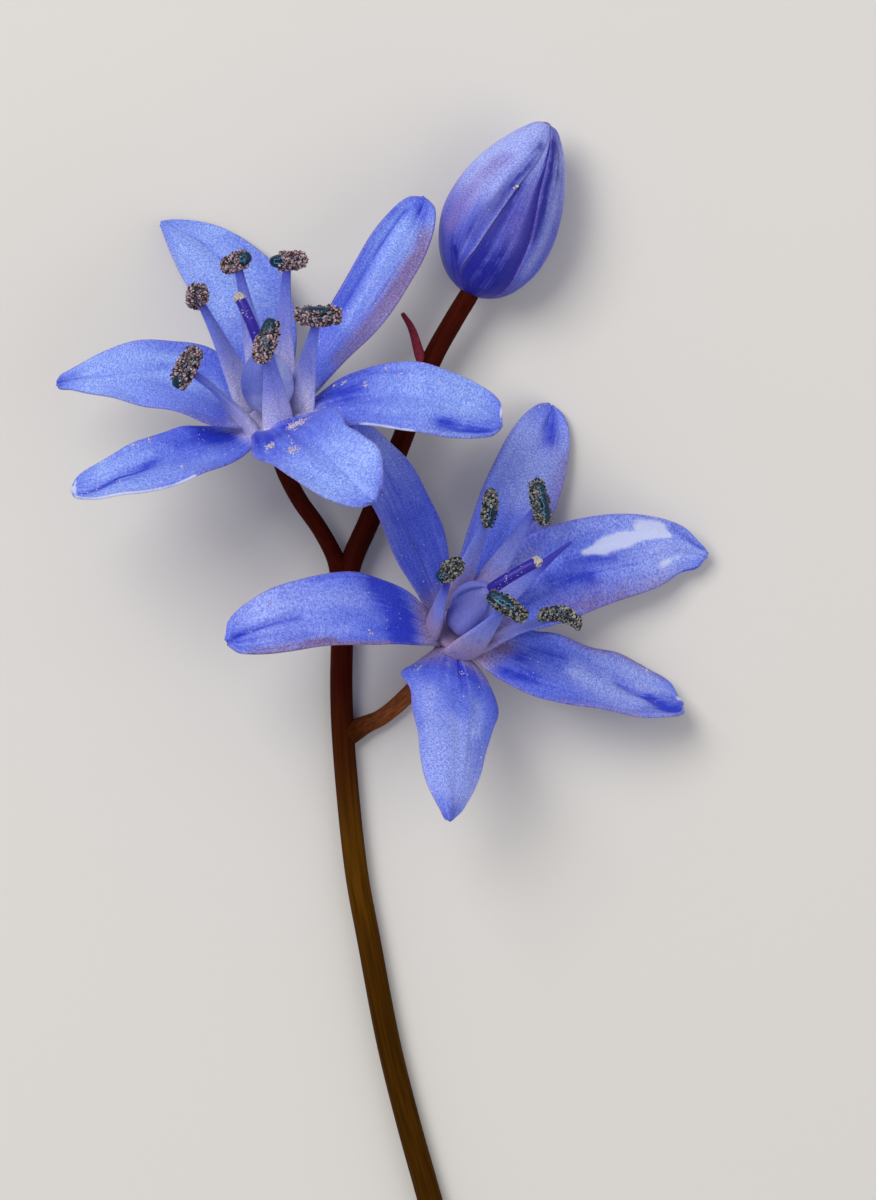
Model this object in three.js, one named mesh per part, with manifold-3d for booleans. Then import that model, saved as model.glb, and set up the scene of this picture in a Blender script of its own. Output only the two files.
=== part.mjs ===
// An alpine squill (Scilla bifolia), a cut flowering stem laid on a table.
// Millimetres, +Z up. The table is z = 0, the stem runs along +Y towards its bud,
// and the origin is the middle of the plant's footprint.
import * as THREE from 'three';
import { mergeVertices } from 'three/addons/utils/BufferGeometryUtils.js';
import Module from 'manifold-3d';

const wasm = await Module();
wasm.setup();

// Tepals
const TEPAL_THICKNESS = 0.6;
const TEPAL_FOOT_SHARE = 0.36; // width at the foot over the full width
const TEPAL_TIP_SHARE = 0.16; // width of the blunt tip over the full width
const TEPAL_FOOT_RADIUS = 0.8; // where a tepal starts, out from the flower's axis
const TEPAL_TIP_ROUNDNESS = 2.2; // how long a tepal stays wide before its tip
const TEPAL_ROLL_END = 0.7; // where along a tepal its roll is complete
const TEPAL_STEPS_ACROSS = 6;
const TEPAL_STEPS_ALONG = 14;
const TEPAL_STEP_CROWDING = 1.4; // over 1 brings the steps closer near the tip

// Stamens
const ANTHER_LENGTH = 2.0;
const ANTHER_WIDTH = 1.0;
const ANTHER_DEPTH = 0.8;
const ANTHER_FURROW = 0.14; // depth of the furrows over the half width
const FILAMENT_TIP_WIDTH = 0.42;
const FILAMENT_FOOT_WIDTH = 0.95;
const FILAMENT_THICKNESS = 0.4;
const FILAMENT_BEND_OUT = 0.35; // where a filament bends, out from its foot to its tip
const FILAMENT_BEND_HEIGHT = 0.55; // and up to the height of its tip
const FILAMENT_SINK = 0.1; // how deep a filament's foot goes into the foot ring
const FOOT_RING_INNER = 1.22;
const FOOT_RING_OUTER = 1.58;

// Pistil
const OVARY_DIAMETER = 2.2;
const OVARY_HEIGHT = 2.4;
const OVARY_LOBES = 3;
const OVARY_FURROW = 0.1; // depth of the furrows between its lobes over the radius
const STYLE_DIAMETER = 0.55;
const STYLE_START = 0.8; // where the style starts inside the ovary, as a share of its height
const STIGMA_DIAMETER = 0.6;

// Heights inside a flower, along its axis from its centre point
const RECEPTACLE_BOTTOM = -0.9;
const RECEPTACLE_TOP = 0.1;
const OVARY_BOTTOM = 0.3;
const RING_BOTTOM = 1.03;
const RING_TOP = 1.3;

// Bud
const BUD_FOOT = new THREE.Vector3(3.66, 17.25, 2.2);
const BUD_TIP = new THREE.Vector3(6.95, 24.5, 2.3);
const BUD_WIDTH = 4.7;
const BUD_BELLY_SHIFT = 0.75; // under 1 moves its widest place towards its foot
const BUD_FULLNESS = 0.6; // under 1 makes its ends blunt
const BUD_RELIEF = 0.06; // how deep the inner tepals lie, as a share of the radius
const BUD_STRIP_TURN = 260; // where one inner tepal shows, about the bud's axis
const BUD_STRIP_SPACING = 120;
const BUD_STRIP_FOOT = 36; // half the angle that an inner tepal shows over
const BUD_STRIP_TIP = 5;
const BUD_STRIP_SLOPE = 4; // half the angle of the step down to it

// Colours
const TEPAL_BLUE = 0x4a63dd;
const FILAMENT_LILAC = 0x8b93dc;
const OVARY_BLUE = 0x7d92d8;
const BUD_BLUE = 0x3f4fc4;
const STEM_BROWN = 0x2a1208;

const UP = new THREE.Vector3(0, 0, 1);

// Each flower's centre point and the way it faces.
// A tepal's place: turn is the angle about the flower's axis and rise the angle above
// its plane, in degrees, and reach the distance to its tip. arch and sweep bow its
// middle up and sideways, hollow lifts its edges, roll tips it about its own length,
// belly is where along it it is widest, and taper is 0.35 for a blunt tip, 1 for a point.
// A stamen's anther sits at this turn, at this distance out from the axis and height
// along it. Its own heading and pitch are in the plant's frame: heading turns it about
// +Z and pitch lifts its far end. A bare stamen has lost its anther.
const LEFT_FLOWER = {
  name: 'flower_left',
  centre: new THREE.Vector3(-4.6, 12.15, 4.39),
  axis: new THREE.Vector3(-0.1, 0.75, 0.65),
  tepals: [
    { turn: 180, rise: 14, reach: 9.0, width: 3.4, arch: 1.4,
      sweep: 0, hollow: 0.4, roll: -19, belly: 0.32, taper: 1 },
    { turn: 211, rise: 2, reach: 9.2, width: 3.3, arch: 0.7,
      sweep: 1.1, hollow: 0.3, roll: 0, belly: 0.45, taper: 0.6 },
    { turn: 305, rise: 4, reach: 8.1, width: 3.6, arch: 1.5,
      sweep: -0.7, hollow: 0.5, roll: 10, belly: 0.45, taper: 0.35 },
    { turn: 353, rise: -1, reach: 9.7, width: 3.3, arch: 1.6,
      sweep: -0.2, hollow: 0.3, roll: 14, belly: 0.52, taper: 0.35 },
    { turn: 48, rise: 28, reach: 11.2, width: 2.4, arch: 0.35,
      sweep: -0.55, hollow: 0.4, roll: 20, belly: 0.7, taper: 0.45 },
    { turn: 121, rise: 23, reach: 10.3, width: 3.4, arch: 0.35,
      sweep: -1.3, hollow: 0.2, roll: 0, belly: 0.56, taper: 0.7 },
  ],
  stamens: [
    { turn: 148, out: 3.1, height: 5.2, heading: 70, pitch: 72 },
    { turn: 107, out: 3.6, height: 5.5, heading: 22, pitch: 50 },
    { turn: 72, out: 3.5, height: 5.5, heading: 2, pitch: 35 },
    { turn: 5, out: 2.5, height: 5.0, heading: 0, pitch: 5 },
    { turn: 289, out: 1.3, height: 5.0, heading: 75, pitch: 0 },
    { turn: 219, out: 3.7, height: 4.6, heading: 62, pitch: 10 },
  ],
  stigma: { turn: 121, out: 1.6, height: 5.2 },
};
const RIGHT_FLOWER = {
  name: 'flower_right',
  centre: new THREE.Vector3(3.15, 3.2, 2.94),
  axis: new THREE.Vector3(0.38, 0.48, 0.79),
  tepals: [
    { turn: 188, rise: -2, reach: 10.5, width: 3.3, arch: 1.7,
      sweep: -0.35, hollow: 0.3, roll: 0, belly: 0.44, taper: 0.35 },
    { turn: 262, rise: -2, reach: 9.1, width: 4.0, arch: 0.8,
      sweep: -0.1, hollow: -0.35, roll: -15, belly: 0.28, taper: 0.7 },
    { turn: 344, rise: 3, reach: 10.2, width: 3.5, arch: 0.7,
      sweep: -0.85, hollow: 0.35, roll: -17, belly: 0.45, taper: 0.35 },
    { turn: 16, rise: 19, reach: 11.2, width: 4.0, arch: 1.1,
      sweep: 0.75, hollow: 0.25, roll: 35, belly: 0.38, taper: 0.5 },
    { turn: 68, rise: 22, reach: 10.6, width: 3.2, arch: 0.25,
      sweep: -0.2, hollow: 0.4, roll: 4, belly: 0.58, taper: 0.53 },
    { turn: 122, rise: 15, reach: 9.7, width: 3.0, arch: 0.5,
      sweep: 0, hollow: 0.35, roll: 3, belly: 0.5, taper: 0.56 },
  ],
  stamens: [
    { turn: 99, out: 2.8, height: 5.3, heading: 85, pitch: 30 },
    { turn: 60, out: 3.9, height: 5.3, heading: 102, pitch: 0 },
    { turn: 186, out: 2.5, height: 5.0, heading: 35, pitch: 55 },
    { turn: 272, out: 1.5, height: 4.8, heading: -35, pitch: 10 },
    { turn: 325, out: 3.0, height: 4.8, heading: -12, pitch: 0 },
    { turn: 29, out: 3.8, height: 5.0, bare: true },
  ],
  stigma: { turn: 22, out: 1.7, height: 5.0 },
};

// The stem: the scape from its cut end up to the bud, a pedicel to each open flower,
// and the bract below the bud
const SCAPE = {
  route: [
    [3.05, -24.8, 0.55], [1.87, -20.5, 0.56], [1.06, -17.6, 0.57], [0.22, -14.2, 0.58],
    [-0.58, -10, 0.57], [-1.18, -6.6, 0.56], [-1.68, -1.3, 0.56], [-1.73, 2.3, 0.62],
    [-1.47, 5.5, 0.9], [-0.55, 7.8, 1.1], [0.2, 9.7, 1.3], [0.87, 11.3, 1.5],
    [1.97, 14.3, 1.85], [2.94, 16.1, 2.1], [3.56, 17.12, 2.18],
  ],
  footRadius: 0.54,
  tipRadius: 0.41,
  sides: 10,
  steps: 44,
};
const LEFT_PEDICEL = {
  route: [
    [-1.6, 4.4, 0.75], [-1.93, 6.0, 0.95], [-2.64, 7.4, 1.35], [-3.48, 8.6, 1.75],
    [-4.1, 9.8, 2.4], [-4.4, 10.8, 3.09], [-4.5, 11.3, 3.57],
  ],
  footRadius: 0.36,
  tipRadius: 0.36,
  sides: 10,
  steps: 14,
};
const RIGHT_PEDICEL = {
  route: [
    [-1.6, -1.3, 0.55], [-0.75, -0.87, 0.5], [0.09, -0.45, 0.5], [1.15, 0.5, 0.55],
    [1.85, 1.4, 0.85], [2.45, 2.2, 1.45], [2.72, 2.62, 1.9],
  ],
  footRadius: 0.36,
  tipRadius: 0.36,
  sides: 10,
  steps: 14,
};
const BRACT = {
  route: [[1.87, 14.2, 1.9], [1.58, 14.7, 2.0], [1.24, 15.8, 2.1], [0.82, 16.5, 2.2]],
  footRadius: 0.36,
  tipRadius: 0.12,
  sides: 8,
  steps: 8,
};

// A closed mesh made a solid, and back
function solidOf(geometry) {
  const bare = geometry.clone();
  bare.deleteAttribute('normal');
  bare.deleteAttribute('uv');
  const merged = mergeVertices(bare, 1e-4);
  const mesh = new wasm.Mesh({
    numProp: 3,
    vertProperties: new Float32Array(merged.attributes.position.array),
    triVerts: new Uint32Array(merged.index.array),
  });
  return new wasm.Manifold(mesh);
}

function geometryOf(solid) {
  const mesh = solid.getMesh();
  const positions = new THREE.BufferAttribute(new Float32Array(mesh.vertProperties), 3);
  const geometry = new THREE.BufferGeometry();
  geometry.setAttribute('position', positions);
  geometry.setIndex(new THREE.BufferAttribute(new Uint32Array(mesh.triVerts), 1));
  geometry.computeVertexNormals();
  return geometry;
}

function joined(geometries) {
  const solids = geometries.map(solidOf);
  return geometryOf(solids.reduce((whole, solid) => whole.add(solid)));
}

// Moves every vertex of a geometry by a function of its place
function reshaped(geometry, place) {
  const positions = geometry.attributes.position;
  const vertex = new THREE.Vector3();
  for (let i = 0; i < positions.count; i += 1) {
    vertex.fromBufferAttribute(positions, i);
    const moved = place(vertex);
    positions.setXYZ(i, moved.x, moved.y, moved.z);
  }
  return geometry;
}

function mix(a, b, share) {
  return a + (b - a) * share;
}

// A point at a turn in degrees and a distance out from the Z axis, at a height
function polar(turn, out, height) {
  const angle = THREE.MathUtils.degToRad(turn);
  return new THREE.Vector3(out * Math.cos(angle), out * Math.sin(angle), height);
}

// The point, tangent, side and inner-face directions at a share of a curve.
// The side lies across the curve and the axis given.
function frameAlong(curve, share, axis) {
  const tangent = curve.getTangent(share);
  const side = new THREE.Vector3().crossVectors(axis, tangent).normalize();
  const face = new THREE.Vector3().crossVectors(tangent, side).normalize();
  return { point: curve.getPoint(share), tangent, side, face };
}

// A rod along a curve. foot and tip are its half width along side and along face.
function rod(curve, foot, tip, sides, steps, axis) {
  const cylinder = new THREE.CylinderGeometry(1, 1, 1, sides, steps);
  return reshaped(cylinder, (v) => {
    const share = v.y + 0.5;
    const { point, side, face } = frameAlong(curve, share, axis);
    return point
      .addScaledVector(side, -v.z * mix(foot[0], tip[0], share))
      .addScaledVector(face, -v.x * mix(foot[1], tip[1], share));
  });
}

// The short thick seat that the tepals grow from, on the flower's axis
function receptacle() {
  const profile = [
    [0, RECEPTACLE_BOTTOM], [0.5, RECEPTACLE_BOTTOM], [1.0, RECEPTACLE_BOTTOM / 2],
    [1.2, RECEPTACLE_TOP], [0, RECEPTACLE_TOP],
  ];
  const lathe = new THREE.LatheGeometry(profile.map((p) => new THREE.Vector2(...p)), 18);
  return lathe.rotateX(Math.PI / 2);
}

// How wide a tepal is, as a share of its full width
function tepalOutline(share, belly, taper) {
  if (share < belly) {
    return mix(TEPAL_FOOT_SHARE, 1, Math.sin((share / belly) * (Math.PI / 2)));
  }
  const past = (share - belly) / (1 - belly);
  return Math.max(TEPAL_TIP_SHARE, (1 - past ** TEPAL_TIP_ROUNDNESS) ** taper);
}

// A curved blade: a flat box bent along its midrib
function tepal({ turn, rise, reach, width, arch, sweep, hollow, roll, belly, taper }) {
  const riseAngle = THREE.MathUtils.degToRad(rise);
  const tip = polar(turn, reach * Math.cos(riseAngle), reach * Math.sin(riseAngle));
  const foot = polar(turn, TEPAL_FOOT_RADIUS, RECEPTACLE_BOTTOM / 2);
  const across = polar(turn + 90, 1, 0);
  const chord = tip.clone().sub(foot).normalize();
  const above = new THREE.Vector3().crossVectors(chord, across).normalize();
  const bow = foot.clone().add(tip).multiplyScalar(0.5)
    .addScaledVector(above, arch * 2)
    .addScaledVector(across, sweep * 2);
  const midrib = new THREE.QuadraticBezierCurve3(foot, bow, tip);
  const blade = new THREE.BoxGeometry(2, 2, 1, TEPAL_STEPS_ACROSS, 1, TEPAL_STEPS_ALONG);
  return reshaped(blade, (v) => {
    const share = 1 - (0.5 - v.z) ** TEPAL_STEP_CROWDING;
    const { point, tangent, side, face } = frameAlong(midrib, share, UP);
    const outline = tepalOutline(share, belly, taper);
    const rolled = THREE.MathUtils.smoothstep(share, 0, TEPAL_ROLL_END);
    const rollAngle = THREE.MathUtils.degToRad(roll) * rolled;
    side.applyAxisAngle(tangent, rollAngle);
    face.applyAxisAngle(tangent, rollAngle);
    const lift = hollow * outline * v.x ** 2 + v.y * TEPAL_THICKNESS / 2;
    return point.addScaledVector(side, v.x * outline * width / 2).addScaledVector(face, lift);
  });
}

// Two pollen sacs side by side: an egg shape with furrows along it
function anther() {
  const ball = new THREE.SphereGeometry(1, 12, 8);
  return reshaped(ball, (v) => {
    const around = Math.atan2(v.z, v.x);
    const girth = 1 - ANTHER_FURROW * Math.sin(2 * around) ** 2;
    return new THREE.Vector3(
      v.y * ANTHER_LENGTH / 2,
      v.x * girth * ANTHER_WIDTH / 2,
      -v.z * girth * ANTHER_DEPTH / 2,
    );
  });
}

// A flattened filament and, unless it is bare, its anther. toFlower turns a direction
// in the plant's frame into the flower's.
function stamen({ turn, out, height, heading, pitch, bare }, toFlower) {
  const footOut = (FOOT_RING_INNER + FOOT_RING_OUTER) / 2;
  const foot = polar(turn, footOut, RING_BOTTOM + FILAMENT_SINK);
  const top = polar(turn, out, height);
  const bend = polar(turn, mix(footOut, out, FILAMENT_BEND_OUT), height * FILAMENT_BEND_HEIGHT);
  const curve = new THREE.QuadraticBezierCurve3(foot, bend, top);
  const footSize = [FILAMENT_FOOT_WIDTH / 2, FILAMENT_THICKNESS / 2];
  const tipSize = [FILAMENT_TIP_WIDTH / 2, FILAMENT_THICKNESS / 2];
  const pieces = [rod(curve, footSize, tipSize, 8, 8, polar(turn + 180, 1, 0))];
  if (!bare) {
    const sacs = anther();
    sacs.rotateY(THREE.MathUtils.degToRad(-pitch));
    sacs.rotateZ(THREE.MathUtils.degToRad(heading));
    sacs.applyQuaternion(toFlower);
    sacs.translate(top.x, top.y, top.z);
    pieces.push(sacs);
  }
  return pieces;
}

// The low ring round the ovary that the feet of the filaments share
function footRing() {
  const profile = [
    [FOOT_RING_INNER, RING_BOTTOM], [FOOT_RING_OUTER, RING_BOTTOM],
    [FOOT_RING_OUTER, RING_TOP], [FOOT_RING_INNER, RING_TOP], [FOOT_RING_INNER, RING_BOTTOM],
  ];
  const lathe = new THREE.LatheGeometry(profile.map((p) => new THREE.Vector2(...p)), 24);
  return lathe.rotateX(Math.PI / 2);
}

// A lobed egg shape
function ovary() {
  const ball = new THREE.SphereGeometry(1, 24, 14);
  return reshaped(ball, (v) => {
    const around = Math.atan2(v.z, v.x);
    const furrow = 1 - Math.abs(Math.cos((OVARY_LOBES / 2) * around));
    const out = (OVARY_DIAMETER / 2) * (1 - OVARY_FURROW * furrow * (1 - v.y ** 2));
    const height = OVARY_BOTTOM + (v.y + 1) * OVARY_HEIGHT / 2;
    return new THREE.Vector3(v.x * out, -v.z * out, height);
  });
}

// The style, curved from the top of the ovary to its stigma
function style({ turn, out, height }) {
  const foot = new THREE.Vector3(0, 0, OVARY_BOTTOM + OVARY_HEIGHT * STYLE_START);
  const top = polar(turn, out, height);
  const bend = new THREE.Vector3(0, 0, (foot.z + top.z) / 2);
  const curve = new THREE.QuadraticBezierCurve3(foot, bend, top);
  const size = [STYLE_DIAMETER / 2, STYLE_DIAMETER / 2];
  const stigma = new THREE.SphereGeometry(STIGMA_DIAMETER / 2, 10, 8);
  stigma.translate(top.x, top.y, top.z);
  return [rod(curve, size, size, 8, 8, new THREE.Vector3(1, 0, 0)), stigma];
}

function mesh(name, geometry, color, roughness) {
  const material = new THREE.MeshStandardMaterial({ color, roughness, metalness: 0 });
  const made = new THREE.Mesh(geometry, material);
  made.name = name;
  return made;
}

function flower({ name, centre, axis, tepals, stamens, stigma }) {
  const bloom = new THREE.Group();
  bloom.position.copy(centre);
  bloom.quaternion.setFromUnitVectors(UP, axis.clone().normalize());
  const toFlower = bloom.quaternion.clone().invert();
  const perianth = joined([receptacle(), ...tepals.map(tepal)]);
  const androecium = joined([footRing(), ...stamens.flatMap((s) => stamen(s, toFlower))]);
  const pistil = joined([ovary(), ...style(stigma)]);
  bloom.add(mesh(`${name}_tepals`, perianth, TEPAL_BLUE, 0.5));
  bloom.add(mesh(`${name}_stamens`, androecium, FILAMENT_LILAC, 0.6));
  bloom.add(mesh(`${name}_pistil`, pistil, OVARY_BLUE, 0.45));
  return bloom;
}

// The bud's radius at a turn, as a share of its outline: the three inner tepals show as
// sunken strips between the edges of the three outer ones
function budRelief(turn, share) {
  const half = BUD_STRIP_SPACING / 2;
  const past = THREE.MathUtils.euclideanModulo(turn - BUD_STRIP_TURN + half, BUD_STRIP_SPACING);
  const apart = Math.abs(past - half);
  const edge = mix(BUD_STRIP_FOOT, BUD_STRIP_TIP, share);
  const raised = THREE.MathUtils.smoothstep(apart, edge - BUD_STRIP_SLOPE, edge + BUD_STRIP_SLOPE);
  return 1 - BUD_RELIEF * (1 - raised);
}

// The closed bud, flat underneath where it lies on the table
function bud() {
  const along = BUD_TIP.clone().sub(BUD_FOOT);
  const toPlant = new THREE.Quaternion().setFromUnitVectors(UP, along.clone().normalize());
  const ball = new THREE.SphereGeometry(1, 48, 24);
  return reshaped(ball, (v) => {
    const turn = THREE.MathUtils.radToDeg(-Math.atan2(v.z, v.x));
    const share = (v.y + 1) / 2;
    const swell = Math.max(0, Math.sin(Math.PI * share ** BUD_BELLY_SHIFT)) ** BUD_FULLNESS;
    const out = (BUD_WIDTH / 2) * swell * budRelief(turn, share);
    const place = polar(turn, out, share * along.length());
    place.applyQuaternion(toPlant).add(BUD_FOOT);
    place.z = Math.max(0, place.z);
    return place;
  });
}

function shoot({ route, footRadius, tipRadius, sides, steps }) {
  const curve = new THREE.CatmullRomCurve3(route.map((p) => new THREE.Vector3(...p)));
  return rod(curve, [footRadius, footRadius], [tipRadius, tipRadius], sides, steps, UP);
}

const stem = joined([SCAPE, LEFT_PEDICEL, RIGHT_PEDICEL, BRACT].map(shoot));

const plant = new THREE.Group();
plant.add(mesh('stem', stem, STEM_BROWN, 0.55));
plant.add(flower(LEFT_FLOWER));
plant.add(flower(RIGHT_FLOWER));
plant.add(mesh('bud', bud(), BUD_BLUE, 0.5));

export default plant;
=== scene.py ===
"""A cut flowering stem of alpine squill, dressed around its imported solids."""

import math
import random
from collections import namedtuple

import bmesh
import bpy
from bpy.props import FloatProperty, FloatVectorProperty, IntProperty, PointerProperty
from bpy.types import Operator, Panel, PropertyGroup
from mathutils import Matrix, Quaternion, Vector, noise


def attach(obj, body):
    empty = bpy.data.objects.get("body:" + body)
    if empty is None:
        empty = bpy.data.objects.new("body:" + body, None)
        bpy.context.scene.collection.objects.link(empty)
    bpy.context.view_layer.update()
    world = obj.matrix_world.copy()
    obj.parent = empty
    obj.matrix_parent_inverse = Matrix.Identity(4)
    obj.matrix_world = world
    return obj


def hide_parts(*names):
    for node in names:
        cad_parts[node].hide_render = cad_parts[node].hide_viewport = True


bl_info = {
    "name": "Alpine squill",
    "version": (1, 0, 0),
    "blender": (4, 5, 0),
    "location": "View3D > Sidebar > Squill",
    "description": "Models the petals, stamens, pistils, bud and stem of an alpine squill",
    "category": "Add Mesh",
}

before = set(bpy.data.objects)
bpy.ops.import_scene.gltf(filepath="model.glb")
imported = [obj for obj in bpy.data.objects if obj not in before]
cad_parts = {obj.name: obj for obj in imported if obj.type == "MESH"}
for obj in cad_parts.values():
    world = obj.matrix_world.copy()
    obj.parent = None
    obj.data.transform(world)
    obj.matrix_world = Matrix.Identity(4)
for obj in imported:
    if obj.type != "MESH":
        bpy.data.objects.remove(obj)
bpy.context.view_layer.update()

MM = 0.001
UP = Vector((0, 0, 1))
SEED = 7

# Sizes in millimetres, shares, counts, and a turn in degrees
TEPAL_FOOT_SHARE = 0.36
TEPAL_FOOT_RADIUS = 0.8
TEPAL_TIP_ROUNDNESS = 2.2
TEPAL_ROLL_END = 0.7
TEPAL_STEP_CROWDING = 1.4
TEPAL_EDGE_FLESH = 0.35
TEPAL_VEINS = 9
TEPAL_RIPPLES = 19
SEAT_BOTTOM = -0.9
SEAT_SINK = 0.1
SEAT_HEIGHT = 1.1
OVARY_BOTTOM = 0.3
OVARY_TURN = 20
STYLE_START = 0.8
STIGMA_CRUMBS = 60
STIGMA_REACH = 0.36
FILAMENT_FOOT_RADIUS = 1.12
FILAMENT_FOOT_HEIGHT = 0.25
FILAMENT_BEND_RADIUS = 1.4
FLAKE_SPREAD = 0.26

# How far the fleshy feet of the filaments run on down into the throat, in millimetres
FILAMENT_SINK = 0.4

# The rings of a seat and of the cut end: how far each rises in millimetres, and how wide
# it is as a share of the one before
SEAT_RINGS = (
    (0.2, 1.4), (0.2, 1.35), (0.15, 1.2), (0.15, 1.1), (0.15, 1.04), (0.15, 0.95),
    (0.08, 0.8), (0.02, 0.5),
)
CUT_RINGS = ((0.05, 0.97), (0.02, 0.85), (-0.02, 0.8), (0.02, 0.5))

# How squarely an anther's wall has to face the bare patch, and how high the noise that
# thins the pollen has to be, for the wall to show
POLLEN_BARE_FROM = 0.62
POLLEN_THIN_FROM = 0.5

# The camera looks straight down. Its place is in metres, and its lens and sensor are in
# millimetres. A light has a name, and a place and a size in metres.
CAMERA_PLACE = (2.333 * MM, 4.417 * MM, 0.3)
CAMERA_LENS = 212.4
CAMERA_SENSOR = 36
LIGHTS = (("key", (-0.16, 0.16, 0.32), 0.22), ("fill", (0.3, -0.12, 0.25), 0.4))
LIGHTS_AIM = Vector((0, 0.005, 0))
SKY = "#e9ecf2"
SKY_STRENGTH = 0.45
FLOOR_SIZE = 1.2

# A flower has a name, a count of specks of dust for each tepal, a centre, the way it
# faces, its tepals and stamens, and its stigma's turn, distance out and height.
Flower = namedtuple("Flower", "name specks centre axis tepals stamens stigma")

# turn is an angle about the flower's axis in degrees, rise one above the flower's plane,
# and reach the distance to the tip. arch and sweep bow the middle up and sideways, hollow
# lifts the edges, roll tips the tepal about its own length, belly is where it is widest
# and taper is 0.35 for a blunt tip and 1 for a point. tip is the width of the tip as a
# share of its width, and cap and notch are the shares of the length that the tip's
# rounding and its notch take.
# Places on a tepal are pairs: across from -1 to 1, then the share of the way to the tip.
# lobes widen one edge: the place, how much wider and over what share. creases are a
# depth and a width in millimetres and the places they run through. paint has strokes of
# each tint: a width in millimetres, a strength and the places the stroke runs through.
# Deep strokes that run along creases, folds and rolled edges are painted shade, and some
# pale and white strokes are painted light, sheen and glare; the rest is the tepal's own
# colour.
# flakes are patches of shed pollen: a place, a size in millimetres and a count of crumbs.
Tepal = namedtuple(
    "Tepal",
    "turn rise reach width arch sweep hollow roll belly taper paint creases lobes flakes tip cap notch",
    defaults=((), (), 0.16, 0.025, 0),
)

# A stamen stands at a turn, a distance out and a height. heading and pitch turn its
# anther in the plant's frame, and without a heading it has lost its anther. bare points
# from the anther's middle to where its wall has no pollen, longer for a larger patch.
# size is the anther's length and width as shares of the usual, and bend arches it. wide
# is how much wider than usual the filament's foot is, face how far its flat side turns,
# stain how much further down the violet of its top reaches and tip how wide its top is.
Stamen = namedtuple(
    "Stamen", "turn out height heading pitch bare size bend wide face stain tip",
    defaults=(None, 0, (), (1, 1), 0, 1, 0, 0, 1),
)

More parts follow.
